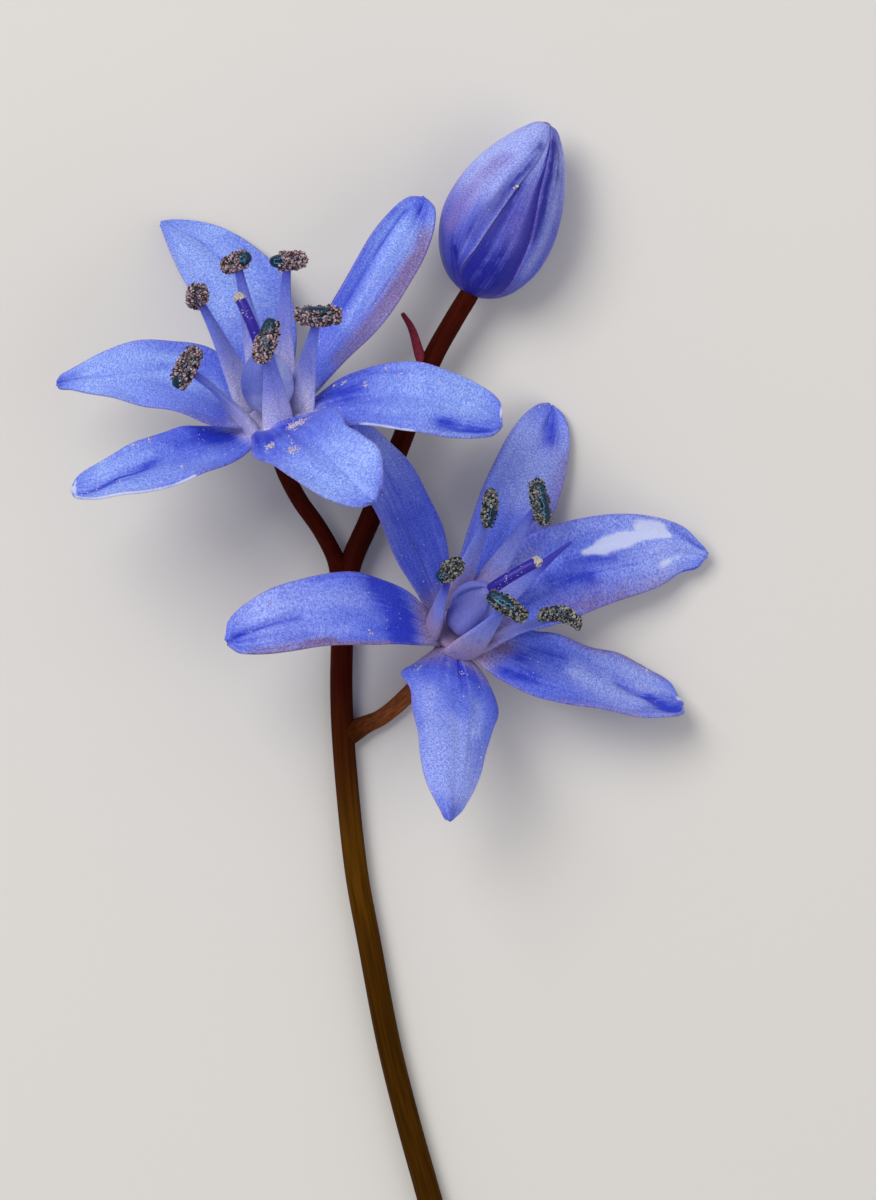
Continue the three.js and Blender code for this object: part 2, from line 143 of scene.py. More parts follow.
LEFT_TEPALS = (
    Tepal(
        180, 14, 9, 3.7, 1.4, 0, 0.4, -19, 0.3, 0.85, tip=0.2, cap=0.04,
        lobes=(((-1, 0.3), 0.12, 0.14), ((1, 0.2), 0.14, 0.12)),
        creases=((0.05, 0.2, (0.1, 0.9), (-0.15, 0.4)), (-0.05, 0.25, (-0.35, 0.8), (-0.5, 0.35))),
        paint=dict(
            deep=((0.16, 0.3, (0.1, 0.8), (-0.3, 0.5)), (0.75, 1.8, (0, 1))),
            # The last pale stroke is painted light on the foot, which a filament shades.
            pale=(
                (3, 0.45, (0, 0.6)), (0.35, 0.8, (0.3, 0.9), (-0.1, 0.57), (0, 0.35)),
                (0.25, 0.7, (-0.5, 0.78), (-0.55, 0.42)), (0.6, 1.2, (-0.1, 0.22)),
            ),
            faded=((0.3, 0.4, (0.8, 0.12), (0.95, 0.35)),),
        ),
    ),
    Tepal(
        211, 2, 9.3, 3.45, 0.7, 1.1, 0.3, 0, 0.45, 0.5, tip=0.24,
        creases=(
            (0.13, 0.28, (0.5, 0.95), (0, 0.79), (-0.3, 0.45)), (-0.08, 0.2, (-0.5, 0.95), (-0.6, 0.6)),
        ),
        flakes=((-0.85, 0.66, 0.3, 10), (-0.9, 0.56, 0.35, 12), (0.45, 0.5, 0.2, 6)),
        paint=dict(
            # The deep stroke along the first crease is painted shade in its fold, and the first pale stroke
            # is painted light below the fold.
            deep=(
                (0.62, 1.3, (-0.6, 0.25), (-0.1, 0.19)), (0.5, 0.5, (-0.2, 0.25), (-0.5, 0.42)),
                (0.3, 0.9, (0.6, 0.96), (0.05, 0.79), (-0.15, 0.6)), (0.5, 0.35, (0.1, 0.68), (0.3, 0.86)),
            ),
            pale=(
                (0.4, 0.6, (-0.45, 0.88), (-0.4, 0.62)), (0.5, 0.4, (0.6, 0.8), (0.5, 0.5), (0.5, 0.35)),
                (0.4, 0.35, (-0.25, 0.5)),
            ),
            white=((0.13, 0.8, (1.02, 0.98), (1.02, 0.5)), (0.2, 1.2, (-0.8, 1), (0.8, 1))),
        ),
    ),
    Tepal(
        305, 4, 8.1, 3.7, 1.5, -0.7, 0.5, 10, 0.45, 0.35,
        lobes=(((-1, 0.45), 0.2, 0.07), ((1, 0.86), 0.16, 0.08), ((1, 0.62), -0.1, 0.06)),
        creases=(
            (-0.34, 0.5, (-0.1, 0.12), (0.7, 0.08)), (0.05, 0.14, (0.1, 0.55), (0, 0.9)),
            (0.04, 0.12, (0.2, 0.6), (0.5, 0.85)), (-0.1, 0.4, (-0.4, 0.45), (-0.3, 0.7)),
        ),
        flakes=((0.25, 0.25, 1, 330), (-0.65, 0.42, 0.5, 70), (-0.4, 0.53, 0.5, 70)),
        paint=dict(
            deep=(
                (0.9, 0.9, (0.3, 0.15), (-0.8, 0.34)), (0.1, 0.3, (0.1, 0.55), (0, 0.85)),
                (0.35, 0.4, (0.9, 0.97)),
            ),
            pale=((1.1, 0.65, (0.3, 0.7), (0.2, 0.92)), (0.4, 0.5, (-0.6, 0.6), (-0.6, 0.85))),
        ),
    ),
    Tepal(
        353, -1, 9.7, 3.5, 1.6, -0.25, 0.3, 14, 0.54, 0.35,
        lobes=(((-1, 0.78), 0.12, 0.12),),
        creases=((0.08, 0.3, (-0.6, 0.95), (-0.55, 0.72)), (0.04, 0.16, (0.1, 0.9), (0.1, 0.5))),
        flakes=(
            (0.8, 0.22, 0.2, 8), (0.7, 0.27, 0.25, 14), (0.4, 0.38, 0.25, 16), (0.85, 0.46, 0.15, 6),
            (0.65, 0.54, 0.15, 5),
        ),
        paint=dict(
            # The last deep stroke is a painted shade band along one edge near the tip.
            deep=(
                (0.7, 1, (0.6, 0.14), (0.25, 0.3)), (0.12, 0.5, (0.85, 0.29), (0.7, 0.56)),
                (0.45, 1, (-0.6, 0.76), (-0.68, 0.93)),
            ),
            pale=((0.9, 0.7, (0.4, 0.5), (0.4, 0.85)), (0.3, 0.5, (-0.5, 0.45), (-0.4, 0.7))),
            white=((0.12, 0.8, (-1.02, 0.4), (-1.02, 0.64)), (0.09, 0.8, (0.4, 1), (0.98, 0.985))),
        ),
    ),
    Tepal(
        48, 28, 11.2, 2.5, 0.35, -0.6, 0.4, 20, 0.7, 0.45,
        lobes=(((-1, 0.5), 0.1, 0.2),),
        creases=(
            (0.14, 0.16, (0.55, 0.92), (0.6, 0.45)), (-0.14, 0.22, (0.1, 0.94), (0.1, 0.4)),
            (0.1, 0.2, (-0.4, 0.93), (-0.4, 0.5)),
        ),
        flakes=((0.1, 0.62, 0.2, 5), (-0.4, 0.7, 0.15, 4)),
        paint=dict(
            deep=(
                (0.22, 0.6, (0.95, 0.9), (1, 0.46)), (0.14, 0.7, (0.55, 0.92), (0.62, 0.46)),
                (0.4, 0.6, (-0.9, 0.84)), (0.7, 0.9, (-0.1, 0.95)),
            ),
            pale=((0.3, 0.6, (0.1, 0.88), (0.1, 0.4)),),
            faded=((0.55, 1.1, (-0.85, 0.85), (-0.8, 0.5), (-0.8, 0.3)),),
        ),
    ),
    Tepal(
        120, 23, 10.3, 3.8, 0.35, -1.35, 0.2, 0, 0.52, 0.7,
        lobes=(((-1, 0.6), 0.1, 0.2),),
        creases=((-0.06, 0.4, (0.1, 0.9), (0.1, 0.3)), (0.05, 0.2, (-0.2, 0.9), (-0.2, 0.5))),
        paint=dict(
            deep=((0.2, 0.35, (-0.15, 0.88), (-0.2, 0.6)), (0.4, 0.3, (-0.8, 0.75), (-0.8, 0.5))),
            pale=((4, 0.75, (0, 0.6)), (1, 0.7, (0.3, 0.83), (0.3, 0.55))),
        ),
    ),
)
LEFT_STAMENS = (
    Stamen(148, 3.1, 5.2, 70, 72, (0, 0, -0.8), wide=1.15),
    Stamen(107, 3.6, 5.5, 22, 25, (1.1, -0.1, 0.3), size=(0.75, 0.85)),
    Stamen(72, 3.5, 5.5, 2, 35, (-1.3, 0.1, 0.5), size=(0.95, 0.9)),
    Stamen(5, 2.5, 5, 0, 5, (-0.2, 0.75, 0.3), wide=1.3, face=40),
    Stamen(289, 1.3, 5, 75, 0, (0.95, 0.6, 0.15), wide=1.1),
    Stamen(219, 3.7, 4.6, 62, 10, (-0.78, 0.1, 0.2), wide=1.2),
)
RIGHT_TEPALS = (
    Tepal(
        188.8, -2, 10.5, 3.4, 1.7, -0.35, 0.3, 0, 0.44, 0.35,
        creases=((0.14, 0.25, (-0.05, 0.98), (0.05, 0.7)), (-0.06, 0.4, (-0.4, 0.85), (-0.3, 0.5))),
        flakes=((0.7, 0.42, 0.3, 10), (-0.6, 0.8, 0.15, 4)),
        paint=dict(
            # The deep strokes along the crease, at the tip and along the edge near it are painted shade in
            # the groove and under the rolled edge; the first is the blade's own deep blue.
            deep=(
                (0.85, 1.7, (-0.8, 0.3), (-0.1, 0.23), (0.8, 0.26)), (0.24, 1, (-0.05, 0.96), (0.02, 0.72)),
                (0.3, 0.5, (-1, 0.62), (-1, 0.4)), (0.8, 0.9, (0.1, 1)),
                (0.4, 0.5, (0.5, 0.9), (0.6, 0.72)),
            ),
            pale=((0.6, 0.6, (-0.5, 0.82), (-0.3, 0.44)), (0.35, 0.4, (0.6, 0.85), (0.55, 0.5))),
            faded=((0.3, 1.2, (0.95, 0.92), (0.95, 0.62)), (0.14, 1, (1, 0.6), (1, 0.35))),
            white=((0.22, 0.85, (-0.75, 1)),),
        ),
    ),
    Tepal(
        262, -2, 9.1, 4, 0.8, -0.1, -0.35, -15, 0.26, 0.62, tip=0.24, cap=0.07,
        lobes=(((-1, 0.24), 0.2, 0.07), ((1, 0.3), 0.12, 0.1)),
        creases=((0.1, 0.12, (0.1, 0.04), (0.1, 0.2)), (0.05, 0.25, (0.45, 0.3), (0.4, 0.7))),
        flakes=((0.2, 0.17, 0.25, 8), (-0.75, 0.2, 0.3, 8), (0.15, 0.33, 0.15, 4)),
        paint=dict(
            deep=(
                (0.7, 0.85, (-0.3, 0.13), (0.3, 0.16)), (0.12, 0.8, (0.1, 0.06), (0.12, 0.3)),
                (0.25, 0.5, (0.95, 0.2), (1, 0.34)), (0.75, 0.85, (0, 1)),
            ),
            pale=(
                (0.6, 1, (-0.65, 0.36), (-0.65, 0.75)), (0.9, 1.15, (0, 0.55), (0, 0.85)),
                (0.4, 0.6, (0.5, 0.34), (0.5, 0.5)),
            ),
            faded=((0.5, 0.5, (0, 1)),),
            white=((0.13, 0.7, (0.4, 0.5), (0.38, 0.56)), (0.13, 0.65, (0.4, 0.66), (0.38, 0.74))),
        ),
    ),
    Tepal(
        344, 3, 10.1, 3.75, 0.7, -0.85, 0.35, -17, 0.4, 0.35, tip=0.26,
        lobes=(((-1, 0.3), 0.08, 0.14), ((1, 0.72), 0.13, 0.2)),
        creases=(
            (0.13, 0.38, (0.2, 0.7), (-0.1, 0.83), (-0.7, 0.95)), (-0.07, 0.3, (0.1, 0.5), (-0.1, 0.7)),
        ),
        flakes=((0.85, 0.85, 0.35, 14),),
        paint=dict(
            # The two deep strokes that follow the first crease are painted shade in its fold.
            deep=(
                (0.5, 1.1, (0, 0.23)), (0.4, 1, (-0.75, 0.2), (-0.5, 0.31)),
                (0.4, 0.9, (0.4, 0.27), (0.4, 0.4)), (0.35, 0.7, (0.2, 0.7), (-0.1, 0.83)),
                (0.5, 1.1, (-0.15, 0.85), (-0.75, 0.95)),
                (0.5, 0.5, (-0.8, 0.8), (-0.5, 0.95), (-0.1, 0.95)),
            ),
            pale=(
                (0.7, 1.4, (0.1, 0.5), (-0.25, 0.66), (-0.2, 0.78)), (0.3, 0.8, (0.8, 0.58), (0.45, 0.94)),
            ),
            faded=(
                (0.6, 1, (0.2, 0.13)), (0.4, 0.9, (1.1, 0.42), (1.1, 0.92)),
                (0.3, 0.4, (-1, 0.45), (-1, 0.75)),
            ),
            white=((0.28, 1.1, (0.2, 1)),),
        ),
    ),
    Tepal(
        15, 19, 11.2, 4, 1.1, 0.9, 0.25, 35, 0.38, 0.5, tip=0.12,
        lobes=(((-1, 0.91), -0.12, 0.05), ((1, 0.96), -0.08, 0.04)),
        creases=(
            (0.07, 0.25, (-0.1, 0.35), (-0.3, 0.7)), (-0.06, 0.3, (0.1, 0.4), (0, 0.8)),
            (0.06, 0.3, (-0.6, 0.4), (-0.7, 0.75)),
        ),
        paint=dict(
            deep=(
                (0.35, 1, (-0.1, 0.36), (-0.3, 0.52)), (0.22, 0.7, (0.2, 0.45), (0, 0.62)),
                (0.2, 0.9, (-1, 0.86), (-0.9, 0.97)), (0.25, 0.7, (0.85, 0.86), (0.5, 0.97)),
            ),
            # Its pale strokes are painted light: on its shaded foot, as a sheen near one edge, and on its
            # end.
            pale=(
                (0.6, 1, (0.5, 0.3)), (0.4, 0.5, (0.8, 0.45), (0.85, 0.7)),
                (0.7, 1.9, (-0.1, 0.82), (0.1, 0.93)),
            ),
            faded=(
                (0.8, 0.3, (0.6, 0.18), (0.65, 0.32)),
                (0.7, 0.7, (-0.85, 0.34), (-0.92, 0.6), (-0.98, 0.82)),
            ),
            # Its white strokes are painted glare across the blade and painted light near its end.
            white=(
                (0.16, 0.9, (0.24, 0.52), (0.27, 0.58)), (0.34, 1.1, (0.27, 0.6), (0.36, 0.67)),
                (0.22, 1.1, (0.38, 0.68), (0.46, 0.75), (0.56, 0.84)),
                (0.3, 0.8, (0.75, 0.74), (0.78, 0.81)), (0.3, 0.62, (-0.35, 0.83), (-0.2, 0.88)),
                (0.7, 0.3, (0.4, 0.6), (0.6, 0.78)),
            ),
        ),
    ),
    Tepal(
        68, 22, 10.6, 3.3, 0.25, -0.2, 0.4, 4, 0.58, 0.5, notch=0.035,
        creases=((0.08, 0.3, (-0.1, 0.99), (-0.2, 0.8)), (-0.06, 0.3, (0.2, 0.8), (0.2, 0.4))),
        paint=dict(
            deep=((0.6, 1, (-0.1, 0.98), (-0.3, 0.87)), (0.6, 0.2, (0, 0.36))),
            pale=((0.9, 1.3, (-0.3, 0.76), (-0.1, 0.6)),),
            faded=((0.5, 0.5, (-0.9, 0.5), (-0.9, 0.8)),),
        ),
    ),
    Tepal(
        122, 15, 9.7, 3, 0.5, 0, 0.35, 3, 0.5, 0.56,
        creases=((0.06, 0.35, (0, 0.9), (0, 0.25)), (-0.04, 0.15, (0.5, 0.8), (0.45, 0.35))),
        paint=dict(deep=((4, 0.6, (0, 0.4)),), pale=((0.3, 0.6, (0.85, 0.42), (0.8, 0.62)),)),
    ),
)
RIGHT_STAMENS = (
    Stamen(99, 2.8, 5.3, 85, 30, (-0.5, -0.6, 0.6), size=(0.9, 0.66)),
    Stamen(60, 3.9, 5.3, 102, 0, (-0.1, -0.95, 0.7), size=(1, 0.9)),
    Stamen(186, 2.5, 5, 35, 45, (-0.9, 0.3, 0.5), size=(0.85, 0.85), wide=0.95, stain=0.25),
    Stamen(272, 1.5, 4.8, -35, 10, (-0.75, 0.4, 0.7), size=(1, 0.8), wide=1.35),
    Stamen(325, 3, 4.8, -12, 0, (0, 0.95, 0), size=(0.95, 0.8), bend=0.35),
    Stamen(29, 3.8, 5, stain=0.35, tip=0.4),
)
FLOWERS = (
    Flower(
        "left", 50, Vector((-4.6, 12.15, 4.39)), Vector((-0.1, 0.75, 0.65)),
        LEFT_TEPALS, LEFT_STAMENS, (121, 1.6, 5.2),
    ),
    Flower(
        "right", 25, Vector((3.15, 3.2, 2.94)), Vector((0.38, 0.48, 0.79)),
        RIGHT_TEPALS, RIGHT_STAMENS, (22, 1.7, 5),
    ),
)

# The bud's three outer tepals, from the one on the right: where its middle is, the shares
# of a strip of inner tepal that each edge leaves open, a bulge in millimetres, and paint
# as above
BudTepal = namedtuple("BudTepal", "centre near far bulge paint")
BUD_TEPALS = (
    # The deep stroke along this tepal's edge by the strip is painted shade of the seam.
    BudTepal(
        320, 1, 0.4, 0,
        dict(
            deep=(
                (3, 0.3, (0, 0.5)), (0.35, 0.7, (0.6, 0.92), (0.5, 0.76)),
                (0.25, 0.9, (0.9, 0.9), (0.85, 0.6), (0.98, 0.4)),
            ),
            pale=((0.35, 0.65, (0.45, 0.6), (0.6, 0.25)),),
            faded=((0.4, 0.7, (-0.3, 0.85), (-0.3, 0.35)),),
            white=((0.2, 0.7, (-0.8, 1), (0.8, 1)),),
        ),
    ),
    BudTepal(
        80, 0.4, 0.4, 0, dict(deep=((0.8, 0.7, (0, 0.1)),)),
    ),
    # The thin pale stroke along this tepal's edge by the strip is a painted highlight, and the deep strokes
    # beside it and along the fold at its foot are painted shade.
    BudTepal(
        200, 0.4, 1, 0.24,
        dict(
            deep=(
                (0.9, 0.7, (-0.2, 0.08), (0, 0.16)), (0.3, 0.8, (-0.85, 0.85), (-0.8, 0.5), (-0.6, 0.3)),
                (0.35, 0.25, (-0.7, 0.98), (-0.6, 0.84)),
                (0.08, 1, (-0.15, 0.19), (-0.5, 0.12), (-0.95, 0.06)),
            ),
            pale=((1.1, 1.4, (-0.2, 0.93), (0, 0.6)), (0.06, 0.9, (-1, 0.72), (-1, 0.2))),
            faded=((0.4, 0.75, (-0.2, 0.72), (0, 0.5), (0.15, 0.3)), (0.5, 0.5, (0.8, 0.55), (0.8, 0.35))),
            white=((0.2, 0.8, (-0.8, 1), (0.8, 1)),),
        ),
    ),
)
# The deep strokes down both edges of the strip are painted shade where the outer tepals' seams lie over it.
BUD_STRIP_PAINT = dict(
    deep=(
        (3, 0.4, (0, 0.5)), (0.35, 1.2, (-0.95, 0.12), (-0.95, 0.6)),
        (0.34, 1.8, (0.92, 0.12), (0.92, 0.9)), (1.1, 1, (0, 0.05), (0, 0.12)),
        (0.1, 0.8, (-0.1, 0.1), (0, 0.34)),
    ),
    faded=((0.5, 0.3, (0.1, 0.75), (0.05, 0.35)),),
)

# Pale specks on the left outer tepal: a place and a size in millimetres
BUD_SPECKS = ((-0.98, 0.615, 0.15), (-0.94, 0.6, 0.09), (-0.7, 0.44, 0.05))

# The bud's ends and widths in millimetres, its shape, and turns in degrees: of half an
# outer tepal about the bud, of the middle of the strip, of half the strip's width at its
# foot, its tip and where it flares, and of the tepals about each other over the tip
BUD_FOOT = Vector((3.66, 17.25, 2.2))
BUD_TIP = Vector((6.95, 24.5, 2.3))
BUD_LENGTH = (BUD_TIP - BUD_FOOT).length
BUD_WIDTH = 4.7
BUD_BELLY_SHIFT = 0.75
BUD_FULLNESS = 0.6
BUD_RELIEF = 0.06
BUD_PAINT_WIDTH = 3
BUD_STRIP_PAINT_WIDTH = 2
BUD_HALF_TEPAL = 60
BUD_STRIP_TURN = 260
BUD_STRIP_FOOT = 36
BUD_STRIP_TIP = 1
BUD_STRIP_FLARE = 13
BUD_TWIST = 13

# Places that the middle of each shoot runs through, in millimetres
SCAPE = (
    (3.05, -24.8, 0.55), (1.87, -20.5, 0.56), (1.06, -17.6, 0.57), (0.22, -14.2, 0.58),
    (-0.58, -10, 0.57), (-1.18, -6.6, 0.56), (-1.68, -1.3, 0.56), (-1.73, 2.3, 0.62),
    (-1.47, 5.5, 0.9), (-0.55, 7.8, 1.1), (0.2, 9.7, 1.3), (0.87, 11.3, 1.5),
    (1.97, 14.3, 1.85), (2.94, 16.1, 2.1), (3.56, 17.12, 2.18), (3.78, 17.55, 2.2),
)
LEFT_PEDICEL = (
    (-1.6, 4.4, 0.75), (-1.93, 6.0, 0.95), (-2.64, 7.4, 1.35), (-3.48, 8.6, 1.75),
    (-4.1, 9.8, 2.4), (-4.4, 10.8, 3.09), (-4.5, 11.3, 3.57), (-4.52, 11.55, 3.85),
)
RIGHT_PEDICEL = (
    (-1.6, -1.3, 0.55), (-0.75, -0.87, 0.5), (0.09, -0.45, 0.5), (1.15, 0.5, 0.55),
    (1.85, 1.4, 0.85), (2.45, 2.2, 1.45), (2.72, 2.62, 1.9), (2.85, 2.82, 2.15),
)
BRACT = ((1.87, 14.2, 1.9), (1.58, 14.7, 2.0), (1.24, 15.8, 2.1), (0.82, 16.5, 2.2))


def linear(colour):
    """An sRGB hex colour as linear red, green, blue and alpha."""
    parts = [int(colour[i : i + 2], 16) / 255 for i in (1, 3, 5)]
    return [p / 12.92 if p <= 0.04045 else ((p + 0.055) / 1.055) ** 2.4 for p in parts] + [1]


def size_property(name, description, millimetres):
    return FloatProperty(
        name=name, description=description, default=millimetres * MM, min=0, unit="LENGTH", precision=5
    )


def colour_property(name, description, colour):
    return FloatVectorProperty(
        name=name, description=description, default=linear(colour), size=4, subtype="COLOR", min=0, max=1
    )


class TepalSettings(PropertyGroup):
    thickness: size_property("Thickness", "How thick a tepal is along its middle", 0.34)
    groove: size_property("Midrib groove", "Depth of the groove along the middle", 0.035)
    ridge: size_property("Ridges", "Height of the two ridges beside the groove", 0.03)
    vein: size_property("Veins", "Height of the fine parallel veins", 0.012)
    ripple: size_property("Edge ripple", "How far the edges wave up and down", 0.06)
    hood: size_property("Hood", "How far the edges close in over the tip", 0.25)
    steps_across: IntProperty(name="Steps across", description="Faces across a blade", default=24)
    steps_along: IntProperty(name="Steps along", description="Faces along a blade", default=72)
    left_foot: colour_property("Left foot", "Pale foot in the left flower's throat", "#eae3fa")
    right_foot: colour_property("Right foot", "Duller foot in the right flower's throat", "#b8a4c4")
    deep: colour_property("Deep", "Saturated blue next to the throat", "#2f43d2")
    middle: colour_property("Middle", "Blue of the middle of the blade", "#6c80ee")
    left_light: colour_property("Left light", "Light blue of the left flower", "#9bb4ff")
    right_light: colour_property("Right light", "Duller light blue of the right flower", "#a1b0fc")
    faded: colour_property("Faded", "Thin, see-through margin", "#8672a6")
    # Besides bloodless rims and bleached patches, white paints glare and light on the right flower's fourth
    # tepal.
    white: colour_property("White", "Bloodless rim and bleached patches", "#dee3ff")
    underside: colour_property("Underside", "Duller blue of the outer face", "#6470cf")
    dust: colour_property("Dust", "Specks of dust and shed pollen", "#f2e8f4")
    dust_dark: colour_property("Dust, dark", "Shaded specks of dust", "#b5a4c4")
    speck: size_property("Speck", "Diameter of a speck of dust", 0.06)


class SeatSettings(PropertyGroup):
    foot: size_property("Foot", "Diameter of the seat on its stalk", 0.8)
    left_cup: colour_property("Left cup", "Pale cup in the left flower's throat", "#c9c2e4")
    right_cup: colour_property("Right cup", "Duller cup in the right flower's throat", "#b8a0c4")
    shade: colour_property("Seat", "Violet-blue of the seat of a flower", "#5a55b0")
    stalk: colour_property("Stalk", "Purple-brown where the stalk ends", "#2e0f1c")


class StamenSettings(PropertyGroup):
    filament_foot: size_property("Filament foot", "Width of a filament at its foot", 1.35)
    filament_tip: size_property("Filament tip", "Width of a filament under its anther", 0.34)
    filament_flesh: size_property("Thickness", "Thickness of a filament at its foot", 0.75)
    anther_length: size_property("Anther length", "Length of an anther", 1.85)
    anther_width: size_property("Anther width", "Width of an anther", 0.78)
    anther_depth: size_property("Anther depth", "Depth of an anther", 0.66)
    grain: size_property("Grain", "Diameter of a clump of pollen", 0.095)
    grains: IntProperty(name="Grains", description="Clumps of pollen on an anther", default=1000)
    left_pale: colour_property("Left foot", "Pale foot of the left flower's filaments", "#e8e2fa")
    right_pale: colour_property("Right foot", "Foot of the right flower's filaments", "#b4a2c4")
    blue: colour_property("Filament", "Middle of a filament", "#979de6")
    upper: colour_property("Upper filament", "Filament below its top", "#6f7edb")
    violet: colour_property("Top", "Top of a filament under its anther", "#3f3cb0")
    wall: colour_property("Anther wall", "Wall of an anther where pollen has gone", "#0e2c42")
    ridge: colour_property("Wall ridge", "Pale lips of the slit in an anther", "#5a9fc6")
    slit: colour_property("Slit", "Inside of the slit in an anther", "#0b1222")
    # The pollen's dark and light colours are partly painted shade and painted highlight, over each flower's
    # own pollen colour.
    left_dark: colour_property("Left pollen, dark", "Shaded pollen of the left flower", "#1c1320")
    left_light: colour_property("Left pollen, light", "Fresh pollen of the left flower", "#dcbcc0")
    right_dark: colour_property("Right pollen, dark", "Shaded pollen of the right flower", "#101828")
    right_light: colour_property("Right pollen, light", "Older pollen of the right flower", "#b2aea6")


class PistilSettings(PropertyGroup):
    ovary_diameter: size_property("Ovary diameter", "Widest part of the ovary", 2.25)
    ovary_height: size_property("Ovary height", "Height of the ovary", 3.05)
    style_foot: size_property("Style foot", "Diameter of the style on the ovary", 0.54)
    style_tip: size_property("Style tip", "Diameter of the style at the stigma", 0.48)
    stigma: size_property("Stigma", "Diameter of the stigma", 0.52)
    # The lit-side colours are painted light on one side of each ovary, and the left ovary's darker wall is
    # painted shade.
    left_wall: colour_property("Left ovary", "Wall of the left flower's ovary", "#6c78cc")
    left_bloom: colour_property("Left bloom", "Pale backs of its lobes", "#c4caf6")
    right_wall: colour_property("Right ovary", "Wall of the right flower's ovary", "#8486d8")
    right_bloom: colour_property("Right bloom", "Pale backs of its lobes", "#9496e0")
    seam: colour_property("Seam", "Furrows of the ovaries", "#4a5aa8")
    streak: colour_property("Streak", "Tan streaks on the ovaries", "#b29f9a")
    blue: colour_property("Foot of the style", "Foot of the style", "#5f62bc")
    purple: colour_property("Style", "Style", "#301f9e")
    cream: colour_property("Stigma", "Stigma", "#d8cfc0")


class BudSettings(PropertyGroup):
    thickness: size_property("Thickness", "Thickness of the outer tepals", 0.24)
    keel: size_property("Keel", "Height of the ridge down each outer tepal", 0.07)
    foot: colour_property("Foot", "Blue at the foot of the bud", "#3436a8")
    deep: colour_property("Deep", "Shaded blue of the seams", "#20209a")
    middle: colour_property("Middle", "Blue of the sides of the bud", "#5c64d0")
    light: colour_property("Light", "Light blue of the crown of the bud", "#b0bcff")
    faded: colour_property("Faded", "Pinkish violet along the keels", "#8a78c6")
    white: colour_property("White", "Pinkish tips of the tepals", "#a894d0")
    speck: colour_property("Speck", "Pale speck on the bud", "#e0d3bb")


class StemSettings(PropertyGroup):
    scape_foot: size_property("Scape foot", "Diameter of the scape at its cut end", 1.08)
    scape_top: size_property("Scape top", "Diameter of the scape under the bud", 0.82)
    pedicel: size_property("Pedicel", "Diameter of a flower's own stalk", 0.72)
    bract: size_property("Bract", "Width of the bract at its foot", 0.62)
    purple: colour_property("Upper stem", "Purple-brown of the upper stem", "#3a0c04")
    olive: colour_property("Lower stem", "Olive-brown of the lower stem", "#3d2200")
    tan: colour_property("Lighter band", "Lighter brown below the right flower's stalk", "#4e2e02")
    umber: colour_property("Fork", "Dark brown where the right stalk leaves the stem", "#3e1a02")
    brown: colour_property("Right stalk", "Lighter brown of the right flower's stalk", "#7e4626")
    maroon: colour_property("Bract skin", "Maroon of the bract", "#7a2a38")
    cut: colour_property("Cut end", "Flesh of the cut end", "#b9c08a")
    vessels: colour_property("Vessels", "Vessels in the cut end", "#8b8f5c")


class StageSettings(PropertyGroup):
    floor: colour_property("Floor", "Pale paper under the plant", "#e4dfd8")
    key: FloatProperty(name="Key light", description="Power of the key light", default=0.9, unit="POWER")
    fill: FloatProperty(name="Fill light", description="Power of the fill light", default=0.35, unit="POWER")


def mix(a, b, share):
    return a + (b - a) * share


def smoothstep(low, high, value):
    share = min(1, max(0, (value - low) / (high - low)))
    return share * share * (3 - 2 * share)


def polar(turn, out, height):
    """A point at a turn in degrees and a distance out from the Z axis, at a height."""
    angle = math.radians(turn)
    return Vector((out * math.cos(angle), out * math.sin(angle), height))


def bump(value, middle, width):
    """A soft bump of height 1 around a middle."""
    return math.exp(-(((value - middle) / width) ** 2))


def bow(foot, bend, tip):
    """A bent line as a function: its point and direction at a share of its length."""

    def at(share):
        left = foot.lerp(bend, share)
        right = bend.lerp(tip, share)
        return left.lerp(right, share), (right - left).normalized()

    return at


def route(points):
    """A smooth line through points as a function: its point and direction at a share."""
    knots = [Vector(p) for p in points]
    before = 2 * knots[0] - knots[1]
    after = 2 * knots[-1] - knots[-2]
    knots = [before, *knots, after]
    spans = len(knots) - 3

    def place(share):
        span = min(spans - 1, int(share * spans))
        t = share * spans - span
        a, b, c, d = knots[span : span + 4]
        slope = c - a
        curve = 2 * a - 5 * b + 4 * c - d
        twist = 3 * b - a - 3 * c + d
        return (2 * b + slope * t + curve * t**2 + twist * t**3) / 2

    def at(share):
        step = 1e-3
        ahead = place(min(1, share + step))
        behind = place(max(0, share - step))
        return place(share), (ahead - behind).normalized()

    return at


def turned(side, face, tangent, degrees):
    turn = Quaternion(tangent, math.radians(degrees))
    return turn @ side, turn @ face


def across_line(at, share, axis):
    """The point of a line with its tangent, side and face directions."""
    point, tangent = at(share)
    side = axis.cross(tangent).normalized()
    return point, tangent, side, tangent.cross(side)


def picked(*pieces):
    """Selects pieces and nothing else, with the first one active."""
    bpy.ops.object.select_all(action="DESELECT")
    for piece in pieces:
        piece.select_set(True)
    bpy.context.view_layer.objects.active = pieces[0]


def added(primitive, name, *materials, **shape):
    """Adds one of Blender's mesh primitives, with a name and its materials."""
    bpy.ops.object.select_all(action="DESELECT")
    primitive(**shape)
    piece = bpy.context.active_object
    piece.name = piece.data.name = name
    for material in materials:
        piece.data.materials.append(material)
    return piece


def add_ball(name, segments, rings, material):
    shape = {"segments": segments, "ring_count": rings, "radius": 1}
    return added(bpy.ops.mesh.primitive_uv_sphere_add, name, material, **shape)


